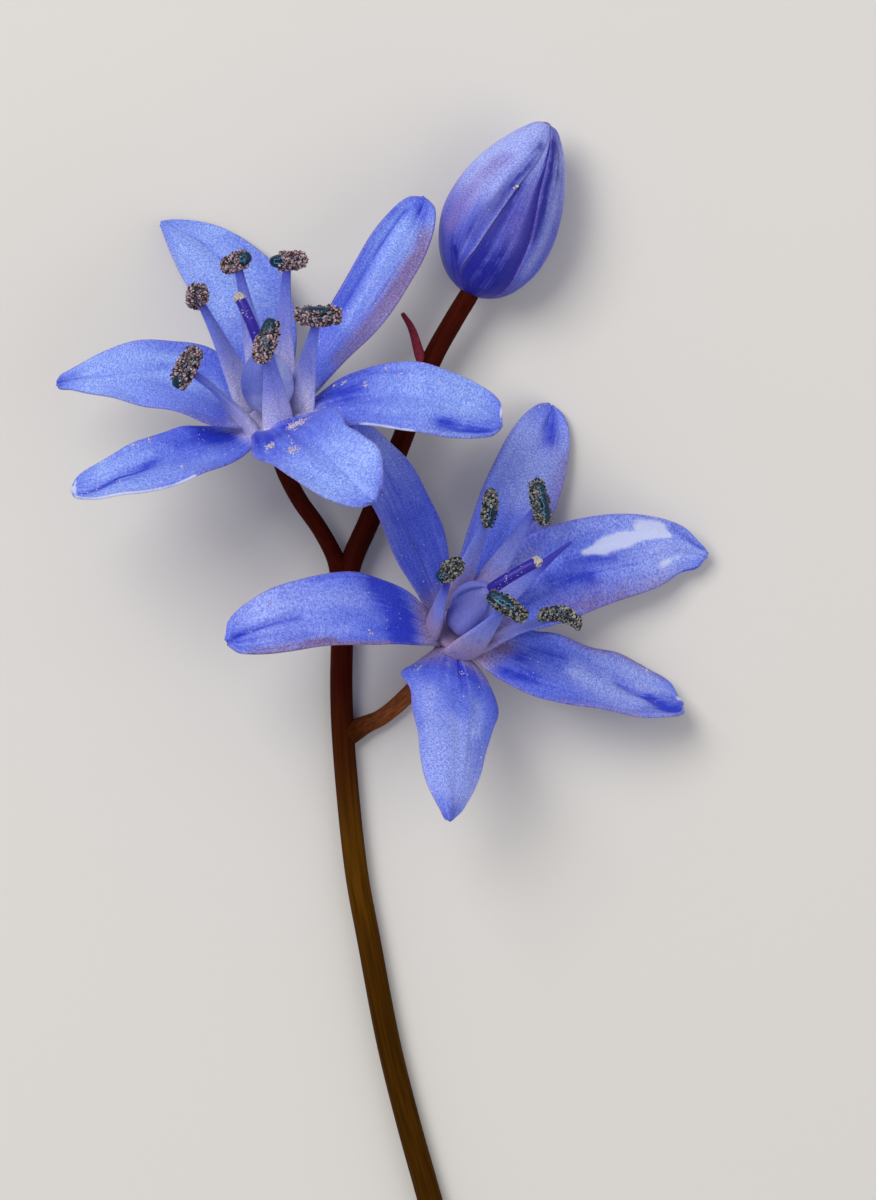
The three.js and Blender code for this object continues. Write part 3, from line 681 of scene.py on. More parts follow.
def add_tube(name, sides, rings, material):
    """An upright cylinder of radius 1 and height 1, with rings cut along it."""
    piece = added(bpy.ops.mesh.primitive_cylinder_add, name, material, vertices=sides, radius=1, depth=1)
    bpy.ops.object.mode_set(mode="EDIT")
    bpy.ops.mesh.select_mode(type="EDGE")
    bpy.ops.mesh.select_all(action="DESELECT")
    for edge in bmesh.from_edit_mesh(piece.data).edges:
        edge.select_set(abs(edge.verts[0].co.z - edge.verts[1].co.z) > 0.5)
    bmesh.update_edit_mesh(piece.data)
    bpy.ops.mesh.subdivide(number_cuts=rings)
    bpy.ops.object.mode_set(mode="OBJECT")
    return piece


def add_rings(name, sides, radius, rings, material):
    """A disc drawn up in rings, closed on top."""
    shape = {"vertices": sides, "radius": radius, "fill_type": "NGON"}
    piece = added(bpy.ops.mesh.primitive_circle_add, name, material, **shape)
    bpy.ops.object.mode_set(mode="EDIT")
    bpy.ops.mesh.select_all(action="SELECT")
    for rise, spread in rings:
        bpy.ops.mesh.extrude_region_move(TRANSFORM_OT_translate={"value": (0, 0, rise * MM)})
        bpy.ops.transform.resize(value=(spread, spread, 1), center_override=(0, 0, 0))
    bpy.ops.mesh.select_all(action="SELECT")
    bpy.ops.mesh.normals_make_consistent(inside=False)
    bpy.ops.object.mode_set(mode="OBJECT")
    return piece


def shaped(piece, place):
    """Moves each vertex to a place in millimetres. place gives it from the vertex's first
    place, with three numbers for the surface to read and how fleshy it is there."""
    made = [place(vertex.co) for vertex in piece.data.vertices]
    flesh = piece.vertex_groups.new(name="flesh")
    for index, (point, _, fullness) in enumerate(made):
        piece.data.vertices[index].co = point * MM
        flesh.add([index], fullness, "REPLACE")
    reads = piece.data.attributes.new("place", "FLOAT_VECTOR", "POINT")
    for index, (_, numbers, _) in enumerate(made):
        reads.data[index].vector = numbers
    return piece


def apply_modifier(piece, kind, **settings):
    picked(piece)
    made = piece.modifiers.new(kind.title(), kind)
    for name, value in settings.items():
        setattr(made, name, value)
    bpy.ops.object.modifier_apply(modifier=made.name)


def smoothed(piece):
    apply_modifier(piece, "SUBSURF", levels=1, render_levels=1)
    bpy.ops.object.shade_smooth()


def placed(piece, matrix):
    """Puts a piece modelled about the origin in its place, with the place in its mesh."""
    picked(piece)
    piece.matrix_world = matrix
    bpy.ops.object.transform_apply(location=True, rotation=True, scale=True)


def joined(pieces, name):
    picked(*pieces)
    bpy.ops.object.join()
    pieces[0].name = pieces[0].data.name = name
    return pieces[0]


def finished(piece, slot, *nodes):
    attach(piece, "root")
    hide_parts(*nodes)


def in_plant(flower):
    """A flower's own frame in the plant's, in metres."""
    turn = UP.rotation_difference(flower.axis.normalized())
    return Matrix.Translation(flower.centre * MM) @ turn.to_matrix().to_4x4()


def shades(settings, flower, *parts):
    """The colours that a flower has for itself."""
    return [getattr(settings, f"{flower.name}_{part}") for part in parts]


def add_node(tree, kind, links=None, stops=None, **settings):
    """Adds a node with its settings. links gives an input a value, a node whose main
    output feeds it, or a node and the name of its output. stops are a ramp's places and
    colours."""
    made = tree.nodes.new("ShaderNode" + kind)
    for name, value in settings.items():
        setattr(made, name, value)
    for name, value in (links or {}).items():
        at = name
        if isinstance(name, str):
            at = next(n for n, i in enumerate(made.inputs) if i.enabled and i.name == name)
        if isinstance(value, bpy.types.Node):
            value = value, next(output.name for output in value.outputs if output.enabled)
        if isinstance(value, tuple) and isinstance(value[0], bpy.types.Node):
            source, output = value
            tree.links.new(next(o for o in source.outputs if o.enabled and o.name == output), made.inputs[at])
        else:
            made.inputs[at].default_value = value
    if stops:
        ramp = made.color_ramp
        while len(ramp.elements) < len(stops):
            ramp.elements.new(1)
        for element, (place, colour) in zip(ramp.elements, stops):
            element.position = place
            element.color = colour
    return made


# What makes a node mix colours
BLEND = {"data_type": "RGBA"}


def let_in(tree, colour, paint, value, low, high, most=1, blend="MIX"):
    """Lets a paint into a colour softly, from none where a value is at low to most of it
    where the value is at high."""
    ends = {"Value": value, "From Min": low, "From Max": high, "To Max": most}
    share = add_node(tree, "MapRange", ends, interpolation_type="SMOOTHSTEP")
    return add_node(tree, "Mix", {"Factor": share, "A": colour, "B": paint}, blend_type=blend, **BLEND)


def streaked(tree, place, stretch, scale, detail):
    """Adds noise that is drawn out along a piece."""
    drawn = add_node(tree, "VectorMath", {0: place, 1: stretch}, operation="MULTIPLY")
    return add_node(tree, "TexNoise", {"Vector": drawn, "Scale": scale, "Detail": detail})


def new_material(name):
    """A material with its tree, empty."""
    material = bpy.data.materials.new(name)
    material.use_nodes = True
    tree = material.node_tree
    tree.nodes.clear()
    return material, tree


def own_place(tree):
    """The place on its own piece that shaped() gives a surface, whole and in parts."""
    place = (add_node(tree, "Attribute", attribute_name="place"), "Vector")
    return place, add_node(tree, "SeparateXYZ", {"Vector": place})


def finish_flesh(tree, colour, normal, roughness=0.45, scatter=0.15, gloss=0.5):
    """Ends a tree with soft plant tissue: a satin skin with a little light let into it."""
    shader = add_node(tree, "BsdfPrincipled", {
        "Base Color": colour,
        "Roughness": roughness,
        "IOR": 1.4,
        "Specular IOR Level": gloss,
        "Subsurface Weight": scatter,
        "Subsurface Radius": (0.5, 0.5, 1.0),
        "Subsurface Scale": 0.25 * MM,
        "Normal": normal,
    })
    add_node(tree, "OutputMaterial", {"Surface": shader})


# The cells of a petal's skin are too fine to show, so their grain in millimetres is drawn
# about twice as coarse, half of it in short wavy rows across the blade. GAP is what the
# light loses between the domes of the cells, mostly red and green, and DOME what it gains
# on top of them. ROWS and VEIN_STREAKS are how fine the pattern is across and along a
# blade, and how far it moves on with the blade's turn. CLOUD is a size in millimetres.
GRAIN = 0.065
ROWS = (18, 150, 0.31)
GAP = (0.2, 0.27, 0.72, 1)
DOME = (2.0, 1.8, 1.15, 1)
VEIN_STREAKS = (9, 2.4, 0.31)
CLOUD = 0.9


def add_skin(tree, spot, colour, strength, rows=None):
    """Adds the domed cells of living skin: a silky grain in the colour, with cells that
    catch the light, and relief. Returns the colour and the normal."""
    fine = {"Vector": spot, "Scale": 1 / (GRAIN * MM), "Detail": 2, "Roughness": 0.6}
    grain = add_node(tree, "TexNoise", fine)
    if rows:
        grain = add_node(tree, "Mix", {"Factor": 0.5, "A": grain, "B": rows})
    colour = let_in(tree, colour, GAP, grain, 0.55, 0.37, 1.9 * strength, "MULTIPLY")
    colour = let_in(tree, colour, DOME, grain, 0.52, 0.68, 1.6 * strength, "MULTIPLY")
    return colour, add_node(tree, "Bump", {"Height": grain, "Distance": 0.015 * MM, "Strength": 0.7})


# A living petal: a skin of tiny domed cells over pale flesh. It gives a silky blue that
# sparkles in a fine grain, with streaks along its veins and thin violet margins.
def petal_material(name, s, foot, light, face="inner"):
    material, tree = new_material(name)
    spot = (add_node(tree, "TexCoord"), "Object")
    place, parts = own_place(tree)
    tint = add_node(tree, "Attribute", attribute_name="tint")
    strokes = add_node(tree, "SeparateColor", {"Color": (tint, "Color")})
    streaks = streaked(tree, place, VEIN_STREAKS, 1, 3)
    rows = streaked(tree, place, ROWS, 1, 1)
    broad = {"Vector": spot, "Scale": 1 / (CLOUD * MM), "Detail": 5, "Roughness": 0.65}
    cloud = add_node(tree, "TexNoise", broad)
    stops = [(0, foot), (0.09, foot), (0.19, s.middle), (0.5, s.middle), (0.85, light), (1, s.middle)]
    colour = add_node(tree, "ValToRGB", {"Fac": (parts, "Y")}, stops=stops)
    if face == "underside":
        colour = add_node(tree, "Mix", {"Factor": 0.6, "A": colour, "B": s.underside}, **BLEND)
    colour = let_in(tree, colour, s.deep, streaks, 0.5, 0.75, 0.3)
    colour = let_in(tree, colour, light, streaks, 0.48, 0.25, 0.3)
    uneven = add_node(tree, "Math", {0: streaks, 1: cloud}, operation="ADD")
    ragged = {"Value": uneven, "From Min": 0.75, "From Max": 1.25, "To Min": 0.5, "To Max": 1.35}
    ragged = add_node(tree, "MapRange", ragged)
    # Pale, deep and faded strokes let in their colours here; some pale and deep strokes are painted light and
    # painted shade.
    for stroke, paint in (("Green", light), ("Red", s.deep), ("Blue", s.faded)):
        amount = {0: (strokes, stroke), 1: ragged}
        amount = add_node(tree, "Math", amount, operation="MULTIPLY", use_clamp=True)
        colour = add_node(tree, "Mix", {"Factor": amount, "A": colour, "B": paint}, **BLEND)
    off_middle = add_node(tree, "Math", {0: (parts, "X")}, operation="ABSOLUTE")
    colour = let_in(tree, colour, s.faded, off_middle, 0.9, 1.02, 0.35)
    colour, normal = add_skin(tree, spot, colour, 0.32, rows)
    # White strokes, broken up by the cloud: bloodless rims and bleached patches, and painted glare.
    patch = add_node(tree, "Math", {0: cloud, 1: (tint, "Alpha")}, operation="MULTIPLY")
    finish_flesh(tree, let_in(tree, colour, s.white, patch, 0.12, 0.42, 0.78), normal)
    return material


# A filament: the same skin, pale where it is thick at its foot and violet at its top.
def filament_material(name, s, pale):
    material, tree = new_material(name)
    spot = (add_node(tree, "TexCoord"), "Object")
    place, parts = own_place(tree)
    stops = [(0, pale), (0.22, pale), (0.48, s.blue), (0.78, s.upper), (0.97, s.violet)]
    colour = add_node(tree, "ValToRGB", {"Fac": (parts, "Y")}, stops=stops)
    streaks = streaked(tree, place, (1.5, 2.5, 1), 2.5, 3)
    colour = let_in(tree, colour, s.violet, streaks, 0.5, 0.8, 0.3)
    finish_flesh(tree, *add_skin(tree, spot, colour, 0.18), 0.45, 0.25)
    return material


# An anther's empty wall: crumpled, slightly shiny skin, dark teal, with paler lips along
# its slits and blue-black inside them.
def wall_material(name, s):
    material, tree = new_material(name)
    spot = (add_node(tree, "TexCoord"), "Object")
    _, parts = own_place(tree)
    lumps = add_node(tree, "TexNoise", {"Vector": spot, "Scale": 1 / (0.2 * MM), "Detail": 3})
    aside = add_node(tree, "Math", {0: lumps, 1: 0.9, 2: (parts, "Y")}, operation="MULTIPLY_ADD")
    stops = [(0.45, s.slit), (0.6, s.slit), (0.68, s.ridge), (0.78, s.wall), (1, s.wall)]
    colour = add_node(tree, "ValToRGB", {"Fac": aside}, stops=stops)
    colour = let_in(tree, colour, s.ridge, lumps, 0.55, 0.75, 0.3)
    normal = add_node(tree, "Bump", {"Height": lumps, "Distance": 0.05 * MM})
    finish_flesh(tree, colour, normal, 0.35, 0, 0.4)
    return material


# Pollen and dust: dry crumbs, matt, each a little lighter or darker than the next. On the
# pollen the dark and light tones are partly painted shade and painted highlight.
def crumb_material(name, dark, light):
    material, tree = new_material(name)
    spot = (add_node(tree, "TexCoord"), "Object")
    _, draw = own_place(tree)
    colour = add_node(tree, "Mix", {"Factor": draw, "A": dark, "B": light}, **BLEND)
    grit = add_node(tree, "TexNoise", {"Vector": spot, "Scale": 1 / (0.03 * MM)})
    normal = add_node(tree, "Bump", {"Height": grit, "Distance": 0.01 * MM})
    finish_flesh(tree, colour, normal, 0.9, 0, 0.15)
    return material


# An ovary: tight, half clear flesh, blue with darker furrows and a few tan streaks. One
# side of it, low down, is painted paler as painted light, and the left ovary's darker wall
# is painted shade.
def ovary_material(name, s, wall, bloom):
    material, tree = new_material(name)
    spot = (add_node(tree, "TexCoord"), "Object")
    place, parts = own_place(tree)
    cloud = add_node(tree, "TexNoise", {"Vector": spot, "Scale": 1 / (0.6 * MM), "Detail": 3})
    stops = [(0, s.seam), (0.12, s.seam), (0.4, wall)]
    colour = add_node(tree, "ValToRGB", {"Fac": parts}, stops=stops)
    # Painted light: one side of the ovary, low down, turns paler.
    colour = let_in(tree, colour, bloom, (parts, "Z"), -0.9, 0.3)
    colour = let_in(tree, colour, wall, cloud, 0.45, 0.75, 0.6)
    lines = streaked(tree, place, (0.5, 7, 2), 1.3, 2)
    colour = let_in(tree, colour, s.streak, lines, 0.62, 0.72, 0.55)
    finish_flesh(tree, *add_skin(tree, spot, colour, 0.12), 0.35, 0.3)
    return material


# A style: dark violet skin, bluer at its foot, with pale grains of pollen stuck to it.
def style_material(name, s):
    material, tree = new_material(name)
    spot = (add_node(tree, "TexCoord"), "Object")
    _, parts = own_place(tree)
    stops = [(0.02, s.blue), (0.25, s.purple)]
    colour = add_node(tree, "ValToRGB", {"Fac": (parts, "Y")}, stops=stops)
    specks = add_node(tree, "TexVoronoi", {"Vector": spot, "Scale": 1 / (0.12 * MM)})
    clumps = add_node(tree, "TexNoise", {"Vector": spot, "Scale": 1 / (0.3 * MM)})
    specks = add_node(tree, "Math", {0: specks, 1: clumps}, operation="ADD")
    stuck = {"Value": specks, "From Min": 0.56, "From Max": 0.68, "To Min": 0.75, "To Max": 0}
    stuck = add_node(tree, "MapRange", stuck)
    colour = add_node(tree, "Mix", {"Factor": stuck, "A": colour, "B": s.cream}, **BLEND)
    finish_flesh(tree, *add_skin(tree, spot, colour, 0.15), 0.4, 0.05)
    return material


# The stem: smooth skin over fibres, with stops of colour from its foot to its top. It is
# dark and shines only faintly, and is a little paler where fibres show through.
def stem_material(name, stops):
    material, tree = new_material(name)
    place, parts = own_place(tree)
    colour = add_node(tree, "ValToRGB", {"Fac": (parts, "Y")}, stops=stops)
    fibres = streaked(tree, place, (5, 9, 1), 2, 4)
    light = {"Value": fibres, "From Min": 0.3, "From Max": 0.75, "To Min": 0.7, "To Max": 1.7}
    light = add_node(tree, "MapRange", light)
    colour = add_node(tree, "VectorMath", {0: colour, "Scale": light}, operation="SCALE")
    normal = add_node(tree, "Bump", {"Height": fibres, "Distance": 0.03 * MM, "Strength": 0.5})
    finish_flesh(tree, colour, normal, 0.6, 0.03, 0.04)
    return material


# The cut face: wet pale flesh with darker vessels.
def cut_material(name, s):
    material, tree = new_material(name)
    spot = (add_node(tree, "TexCoord"), "Object")
    cells = add_node(tree, "TexVoronoi", {"Vector": spot, "Scale": 1 / (0.16 * MM)})
    colour = add_node(tree, "ValToRGB", {"Fac": cells}, stops=[(0.1, s.vessels), (0.45, s.cut)])
    normal = add_node(tree, "Bump", {"Height": cells, "Distance": 0.03 * MM})
    finish_flesh(tree, colour, normal, 0.25, 0.2)
    return material


# The seat: the petals' skin, brown at the stalk and pale in the cup.
def seat_material(name, s, cup):
    material, tree = new_material(name)
    spot = (add_node(tree, "TexCoord"), "Object")
    _, parts = own_place(tree)
    stops = [(0, s.stalk), (0.12, s.stalk), (0.4, s.shade), (0.75, cup)]
    colour = add_node(tree, "ValToRGB", {"Fac": (parts, "Y")}, stops=stops)
    finish_flesh(tree, *add_skin(tree, spot, colour, 0.12), 0.45, 0.2)
    return material


# Paper: matt, one pale colour.
def paper_material(name, s):
    material, tree = new_material(name)
    shader = add_node(tree, "BsdfPrincipled", {"Base Color": s.floor, "Roughness": 0.9})
    add_node(tree, "OutputMaterial", {"Surface": shader})
    return material


def tepal_outline(t, across, share):
    """How far out the edge is on one side of a tepal, as a share of half its width."""
    if share < t.belly:
        blade = mix(TEPAL_FOOT_SHARE, 1, math.sin(share / t.belly * math.pi / 2))
    else:
        past = (share - t.belly) / (1 - t.belly)
        closing = (1 - min(1, past) ** TEPAL_TIP_ROUNDNESS) ** t.taper
        blade = (closing**4 + t.tip**4) ** 0.25
    rounding = max(0, (share - 1 + t.cap) / t.cap)
    for (side, at), wider, spread in t.lobes:
        blade += wider * max(0, across * side) * bump(share, at, spread)
    return blade * max(0.2, math.sqrt(max(0, 1 - rounding**2)))


def off_line(points, across, share, width, length):
    """How far a place on a blade is from a line through places on it, in millimetres."""
    here = Vector((across * width / 2, share * length))
    knots = [Vector((x * width / 2, y * length)) for x, y in points]
    nearest = 1e6
    for start, end in zip(knots, knots[1:] or knots):
        way = end - start
        reach = (here - start).dot(way) / max(1e-9, way.length_squared)
        nearest = min(nearest, (here - start - way * min(1, max(0, reach))).length)
    return nearest


def painted(piece, paint, width, length):
    """Paints a blade's strokes on its mesh, for its material to read."""
    spots = [tuple(item.vector) for item in piece.data.attributes["place"].data]
    tints = piece.data.attributes.new("tint", "FLOAT_COLOR", "POINT")
    for index, (across, share, _) in enumerate(spots):
        amounts = []
        for kind in ("deep", "pale", "faded", "white"):
            amount = 0.0
            for wide, strength, *points in paint.get(kind, ()):
                amount += strength * bump(off_line(points, across, share, width, length), 0, wide)
            amounts.append(min(2, amount))
        tints.data[index].color = amounts


def tepal_relief(t, settings, across, share):
    """How far the inner face of a tepal stands above a smooth blade, in millimetres."""
    blade = smoothstep(0.12, 0.4, share)
    height = -settings.groove / MM * bump(across, 0, 0.08) * blade
    height += settings.ridge / MM * bump(abs(across), 0.3, 0.14) * blade
    height += settings.vein / MM * math.cos(across * TEPAL_VEINS * math.pi) * (1 - across**2)
    height += settings.ripple / MM * across**2 * math.sin(share * TEPAL_RIPPLES + t.turn + 2 * across)
    closed = smoothstep(0.86, 1, share) * tepal_outline(t, across, share)
    height += settings.hood / MM * closed * across**2
    for deep, wide, *points in t.creases:
        height -= deep * bump(off_line(points, across, share, t.width, t.reach), 0, wide)
    swell = noise.noise(Vector((across * 1.5, share * 7, t.turn)))
    wrinkle = noise.noise(Vector((across * 6, share * 6, t.turn)))
    return height + (0.08 * swell + 0.025 * wrinkle) * blade


def tepal_surface(t, settings):
    """Where a point of a flat grid goes on the tepal's middle surface."""
    rise = math.radians(t.rise)
    tip = polar(t.turn, t.reach * math.cos(rise), t.reach * math.sin(rise))
    foot = polar(t.turn, TEPAL_FOOT_RADIUS, SEAT_BOTTOM / 2)
    across_way = polar(t.turn + 90, 1, 0)
    above = (tip - foot).normalized().cross(across_way).normalized()
    bend = (foot + tip) / 2 + above * t.arch * 2 + across_way * t.sweep * 2
    midrib = bow(foot, bend, tip)

    def place(flat):
        across = -flat.x
        share = 1 - (0.5 - flat.y / 2) ** TEPAL_STEP_CROWDING
        line_share = share - t.notch * bump(across, 0, 0.35) * smoothstep(0.9, 1, share)
        point, tangent, side, face = across_line(midrib, line_share, UP)
        side, face = turned(side, face, tangent, t.roll * smoothstep(0, TEPAL_ROLL_END, share))
        outline = tepal_outline(t, across, share)
        lift = t.hollow * outline * across**2 + tepal_relief(t, settings, across, share)
        point += side * across * outline * t.width / 2 + face * lift
        return point, (across, share, t.turn), mix(1, TEPAL_EDGE_FLESH, across**2)

    return place


class SQUILL_OT_tepals(Operator):
    """Models the six tepals of each open flower as curved blades with folds and veins"""

    bl_idname = "squill.tepals"
    bl_label = "Tepals"

    def execute(self, context):
        s = context.scene.squill_tepals
        grid = bpy.ops.mesh.primitive_grid_add
        steps = {"x_subdivisions": s.steps_across, "y_subdivisions": s.steps_along, "size": 2}
        for flower in FLOWERS:
            name = flower.name
            tones = shades(s, flower, "foot", "light")
            inner = petal_material(f"{name}_petal_inner_face", s, *tones)
            outer = petal_material(f"{name}_petal_underside", s, *tones, "underside")
            for number, tepal in enumerate(flower.tepals, 1):
                piece = added(grid, f"{name}_tepal_{number}", inner, outer, **steps)
                shaped(piece, tepal_surface(tepal, s))
                painted(piece, tepal.paint, tepal.width, tepal.reach)
                placed(piece, in_plant(flower))
                apply_modifier(piece, "SOLIDIFY", thickness=s.thickness, offset=0,
                               vertex_group="flesh", material_offset=1)
                smoothed(piece)
                finished(piece, "petal", f"flower_{name}_tepals")
        return {"FINISHED"}


def on_tepal(flower, tepal, settings, across, share, height):
    """A place in metres at a height in millimetres over a tepal's inner face."""
    surface = tepal_surface(tepal, settings)
    flat = Vector((-across, 1 - 2 * (1 - share) ** (1 / TEPAL_STEP_CROWDING), 0))
    step = 0.01
    here = surface(flat)[0]
    aside = surface(flat + Vector((step, 0, 0)))[0] - here
    ahead = surface(flat + Vector((0, step, 0)))[0] - here
    skin = settings.thickness / MM / 2 * mix(1, TEPAL_EDGE_FLESH, across**2)
    return in_plant(flower) @ ((here + aside.cross(ahead).normalized() * (skin + height)) * MM)


class SQUILL_OT_dust(Operator):
    """Scatters shed pollen and dust over the tepals, placed by a seeded draw"""

    bl_idname = "squill.dust"
    bl_label = "Dust"

    def execute(self, context):
        s = context.scene.squill_tepals
        draw = random.Random(SEED)
        dry = crumb_material("shed_pollen", s.dust_dark, s.dust)
        for flower in FLOWERS:
            spots = []
            for tepal in flower.tepals:
                for _ in range(flower.specks):
                    across, share = draw.uniform(-0.95, 0.95), draw.uniform(0.12, 0.97)
                    size = s.speck * draw.uniform(0.5, 1.2)
                    spots.append((on_tepal(flower, tepal, s, across, share, 0.01), size))
                for across, share, spread, count in tepal.flakes:
                    for _ in range(count):
                        x = across + draw.gauss(0, FLAKE_SPREAD) * spread / tepal.width * 2
                        y = share + draw.gauss(0, FLAKE_SPREAD) * spread / tepal.reach
                        size = s.speck * draw.uniform(0.7, 1.5)
                        x = max(-1, min(1, x))
                        spots.append((on_tepal(flower, tepal, s, x, y, draw.uniform(-0.02, 0.03)), size))
            piece = crumbs(f"{flower.name}_dust", spots, draw, dry)
            finished(piece, "petal", f"flower_{flower.name}_tepals")
        return {"FINISHED"}


class SQUILL_OT_seats(Operator):
    """Models the short thick seat of each open flower, with a shallow pale cup on top"""

    bl_idname = "squill.seats"
    bl_label = "Seats"

    def execute(self, context):
        s = context.scene.squill_seats
        for flower in FLOWERS:
            skin = seat_material(f"{flower.name}_seat_skin", s, *shades(s, flower, "cup"))
            piece = add_rings(f"{flower.name}_seat", 24, s.foot / 2, SEAT_RINGS, skin)
            foot = UP * (SEAT_BOTTOM - SEAT_SINK)
            shaped(piece, lambda v: (v / MM + foot, (0, v.z / MM / SEAT_HEIGHT, 0), 1))
            placed(piece, in_plant(flower))
            smoothed(piece)
            finished(piece, "petal", f"flower_{flower.name}_tepals")
        return {"FINISHED"}


def filament_surface(stamen, settings):
    """Where a point of an upright tube goes on a flattened filament."""
    turn, out, height = stamen[:3]
    foot = polar(turn, FILAMENT_FOOT_RADIUS, FILAMENT_FOOT_HEIGHT - FILAMENT_SINK)
    bend = polar(turn, mix(FILAMENT_BEND_RADIUS, out, 0.35), height * 0.55)
    middle = bow(foot, bend, polar(turn, out, height))
    inward = polar(turn + 180, 1, 0)
    wide = settings.filament_foot * stamen.wide
    narrow = settings.filament_tip * stamen.tip

    def place(v):
        share = v.z + 0.5
        point, tangent, side, face = across_line(middle, share, inward)
        side, face = turned(side, face, tangent, stamen.face)
        width = mix(wide, narrow, smoothstep(-0.1, 1.05, share) ** 1.1) / MM
        thick = mix(settings.filament_flesh, narrow, smoothstep(0, 0.6, share)) / MM
        point += side * v.x * width / 2 + face * v.y * thick / 2 * (1 - 0.25 * v.x**2)
        return point, (v.x, share + stamen.stain * share, turn), 1

    return place


class SQUILL_OT_filaments(Operator):
    """Models the flattened filaments that stand round each ovary"""

    bl_idname = "squill.filaments"
    bl_label = "Filaments"

    def execute(self, context):
        s = context.scene.squill_stamens
        for flower in FLOWERS:
            skin = filament_material(f"{flower.name}_filament_skin", s, *shades(s, flower, "pale"))
            filaments = []
            for stamen in flower.stamens:
                filaments.append(shaped(add_tube("filament", 12, 24, skin), filament_surface(stamen, s)))
            piece = joined(filaments, f"{flower.name}_filaments")
            placed(piece, in_plant(flower))
            smoothed(piece)
            finished(piece, "stamen", f"flower_{flower.name}_stamens")
        return {"FINISHED"}


def anther_matrix(flower, stamen):
    """Where an anther goes, in metres."""
    top = in_plant(flower) @ (polar(*stamen[:3]) * MM)
    heading = Matrix.Rotation(math.radians(stamen.heading), 4, "Z")
    pitch = Matrix.Rotation(math.radians(-stamen.pitch), 4, "Y")
    return Matrix.Translation(top) @ heading @ pitch


def anther_surface(settings, stamen):
    """Where a point of a ball goes on an anther that lies along X: two pairs of sacs with
    a furrow above and below and a slit in each side."""
    bend = stamen.bend
    longer, wider = stamen.size
    length = settings.anther_length / MM * longer
    width = settings.anther_width / MM * wider
    depth = settings.anther_depth / MM * wider

    def place(v):
        around = math.atan2(v.x, v.y)
        side, top = math.sin(around), math.cos(around)
        girth = max(1e-4, math.hypot(v.x, v.y)) ** 0.65
        end = smoothstep(0.55, 0.9, abs(v.z))
        furrows = (0.32 * bump(side, 0, 0.22) + 0.14 * bump(top, 0.15, 0.2)) * (1 - end)
        lump = 0.07 * noise.noise(Vector((v.z * 3, v.x * 2, v.y * 2 + bend)))
        out = girth * (1 - furrows) + lump
        aside = side * out * width / 2 + bend * (0.4 - v.z**2)
        return Vector((v.z * length / 2, aside, top * out * depth / 2)), (v.z, abs(side) + end, top), 1

    return place


def with_anther(flower):
    return [stamen for stamen in flower.stamens if stamen.heading is not None]


class SQUILL_OT_anthers(Operator):
    """Models the burst anthers, with their furrow and slits"""

    bl_idname = "squill.anthers"
    bl_label = "Anthers"

    def execute(self, context):
        s = context.scene.squill_stamens
        wall = wall_material("anther_wall", s)
        for flower in FLOWERS:
            anthers = []
            for stamen in with_anther(flower):
                anther = add_ball("anther", 32, 20, wall)
                shaped(anther, anther_surface(s, stamen))
                placed(anther, anther_matrix(flower, stamen))
                anthers.append(anther)
            piece = joined(anthers, f"{flower.name}_anthers")
            smoothed(piece)
            finished(piece, "stamen", f"flower_{flower.name}_stamens")
        return {"FINISHED"}


def crumbs(name, spots, draw, material):
    """One mesh of many small crumbs, each at a place in metres with a diameter."""
    piece = added(bpy.ops.mesh.primitive_ico_sphere_add, name, material, subdivisions=1, radius=0.5)
    corners = [v.co.copy() for v in piece.data.vertices]
    faces = [tuple(p.vertices) for p in piece.data.polygons]
    points, polygons, tones = [], [], []
    for spot, size in spots:
        turn = Quaternion((draw.uniform(-1, 1), draw.uniform(-1, 1), draw.uniform(-1, 1)), draw.uniform(0, 3))
        stretch = Vector((draw.uniform(0.8, 1.5), draw.uniform(0.7, 1.2), draw.uniform(0.6, 1)))
        tone = draw.random() ** 1.5
        first = len(points)
        for corner in corners:
            points.append(spot + turn @ Vector(a * b for a, b in zip(corner, stretch)) * size)
            tones.append((tone, 0, 0))
        polygons += [tuple(first + n for n in face) for face in faces]
    piece.data.clear_geometry()
    piece.data.from_pydata(points, [], polygons)
    reads = piece.data.attributes.new("place", "FLOAT_VECTOR", "POINT")
    for index, tone in enumerate(tones):
        reads.data[index].vector = tone
    bpy.ops.object.shade_smooth()
    return piece


def pollen_spots(flower, stamen, settings, draw):
    """Places on an anther's wall that pollen clings to."""
    surface = anther_surface(settings, stamen)
    matrix = anther_matrix(flower, stamen)
    offset = Vector((draw.random() * 50, 0, 0))
    bare = Vector(stamen.bare)
    for _ in range(settings.grains):
        z = draw.uniform(-1, 1)
        around = draw.uniform(-math.pi, math.pi)
        ring = math.sqrt(1 - z * z)
        way = Vector((z, ring * math.sin(around), ring * math.cos(around)))
        if way.dot(bare) + 0.25 * noise.noise(way * 2.5 + offset) > POLLEN_BARE_FROM:
            continue
        if noise.noise(way * 3.5 - offset) > POLLEN_THIN_FROM:
            continue
        point = surface(Vector((way.y, way.z, way.x)))[0]
        out = (point - Vector((point.x * 0.8, 0, 0))).normalized() * draw.uniform(-0.02, 0.1)
        yield matrix @ ((point + out) * MM), settings.grain * draw.uniform(0.6, 1.35)


class SQUILL_OT_pollen(Operator):
    """Covers the anthers with clumps of pollen, placed by a seeded draw"""

    bl_idname = "squill.pollen"
    bl_label = "Pollen"

    def execute(self, context):
        s = context.scene.squill_stamens
        draw = random.Random(SEED)
        for flower in FLOWERS:
            dry = crumb_material(f"{flower.name}_pollen_crumbs", *shades(s, flower, "dark", "light"))
            spots = []
            for stamen in with_anther(flower):
                spots += pollen_spots(flower, stamen, s, draw)
            piece = crumbs(f"{flower.name}_pollen", spots, draw, dry)
            finished(piece, "stamen", f"flower_{flower.name}_stamens")
        return {"FINISHED"}


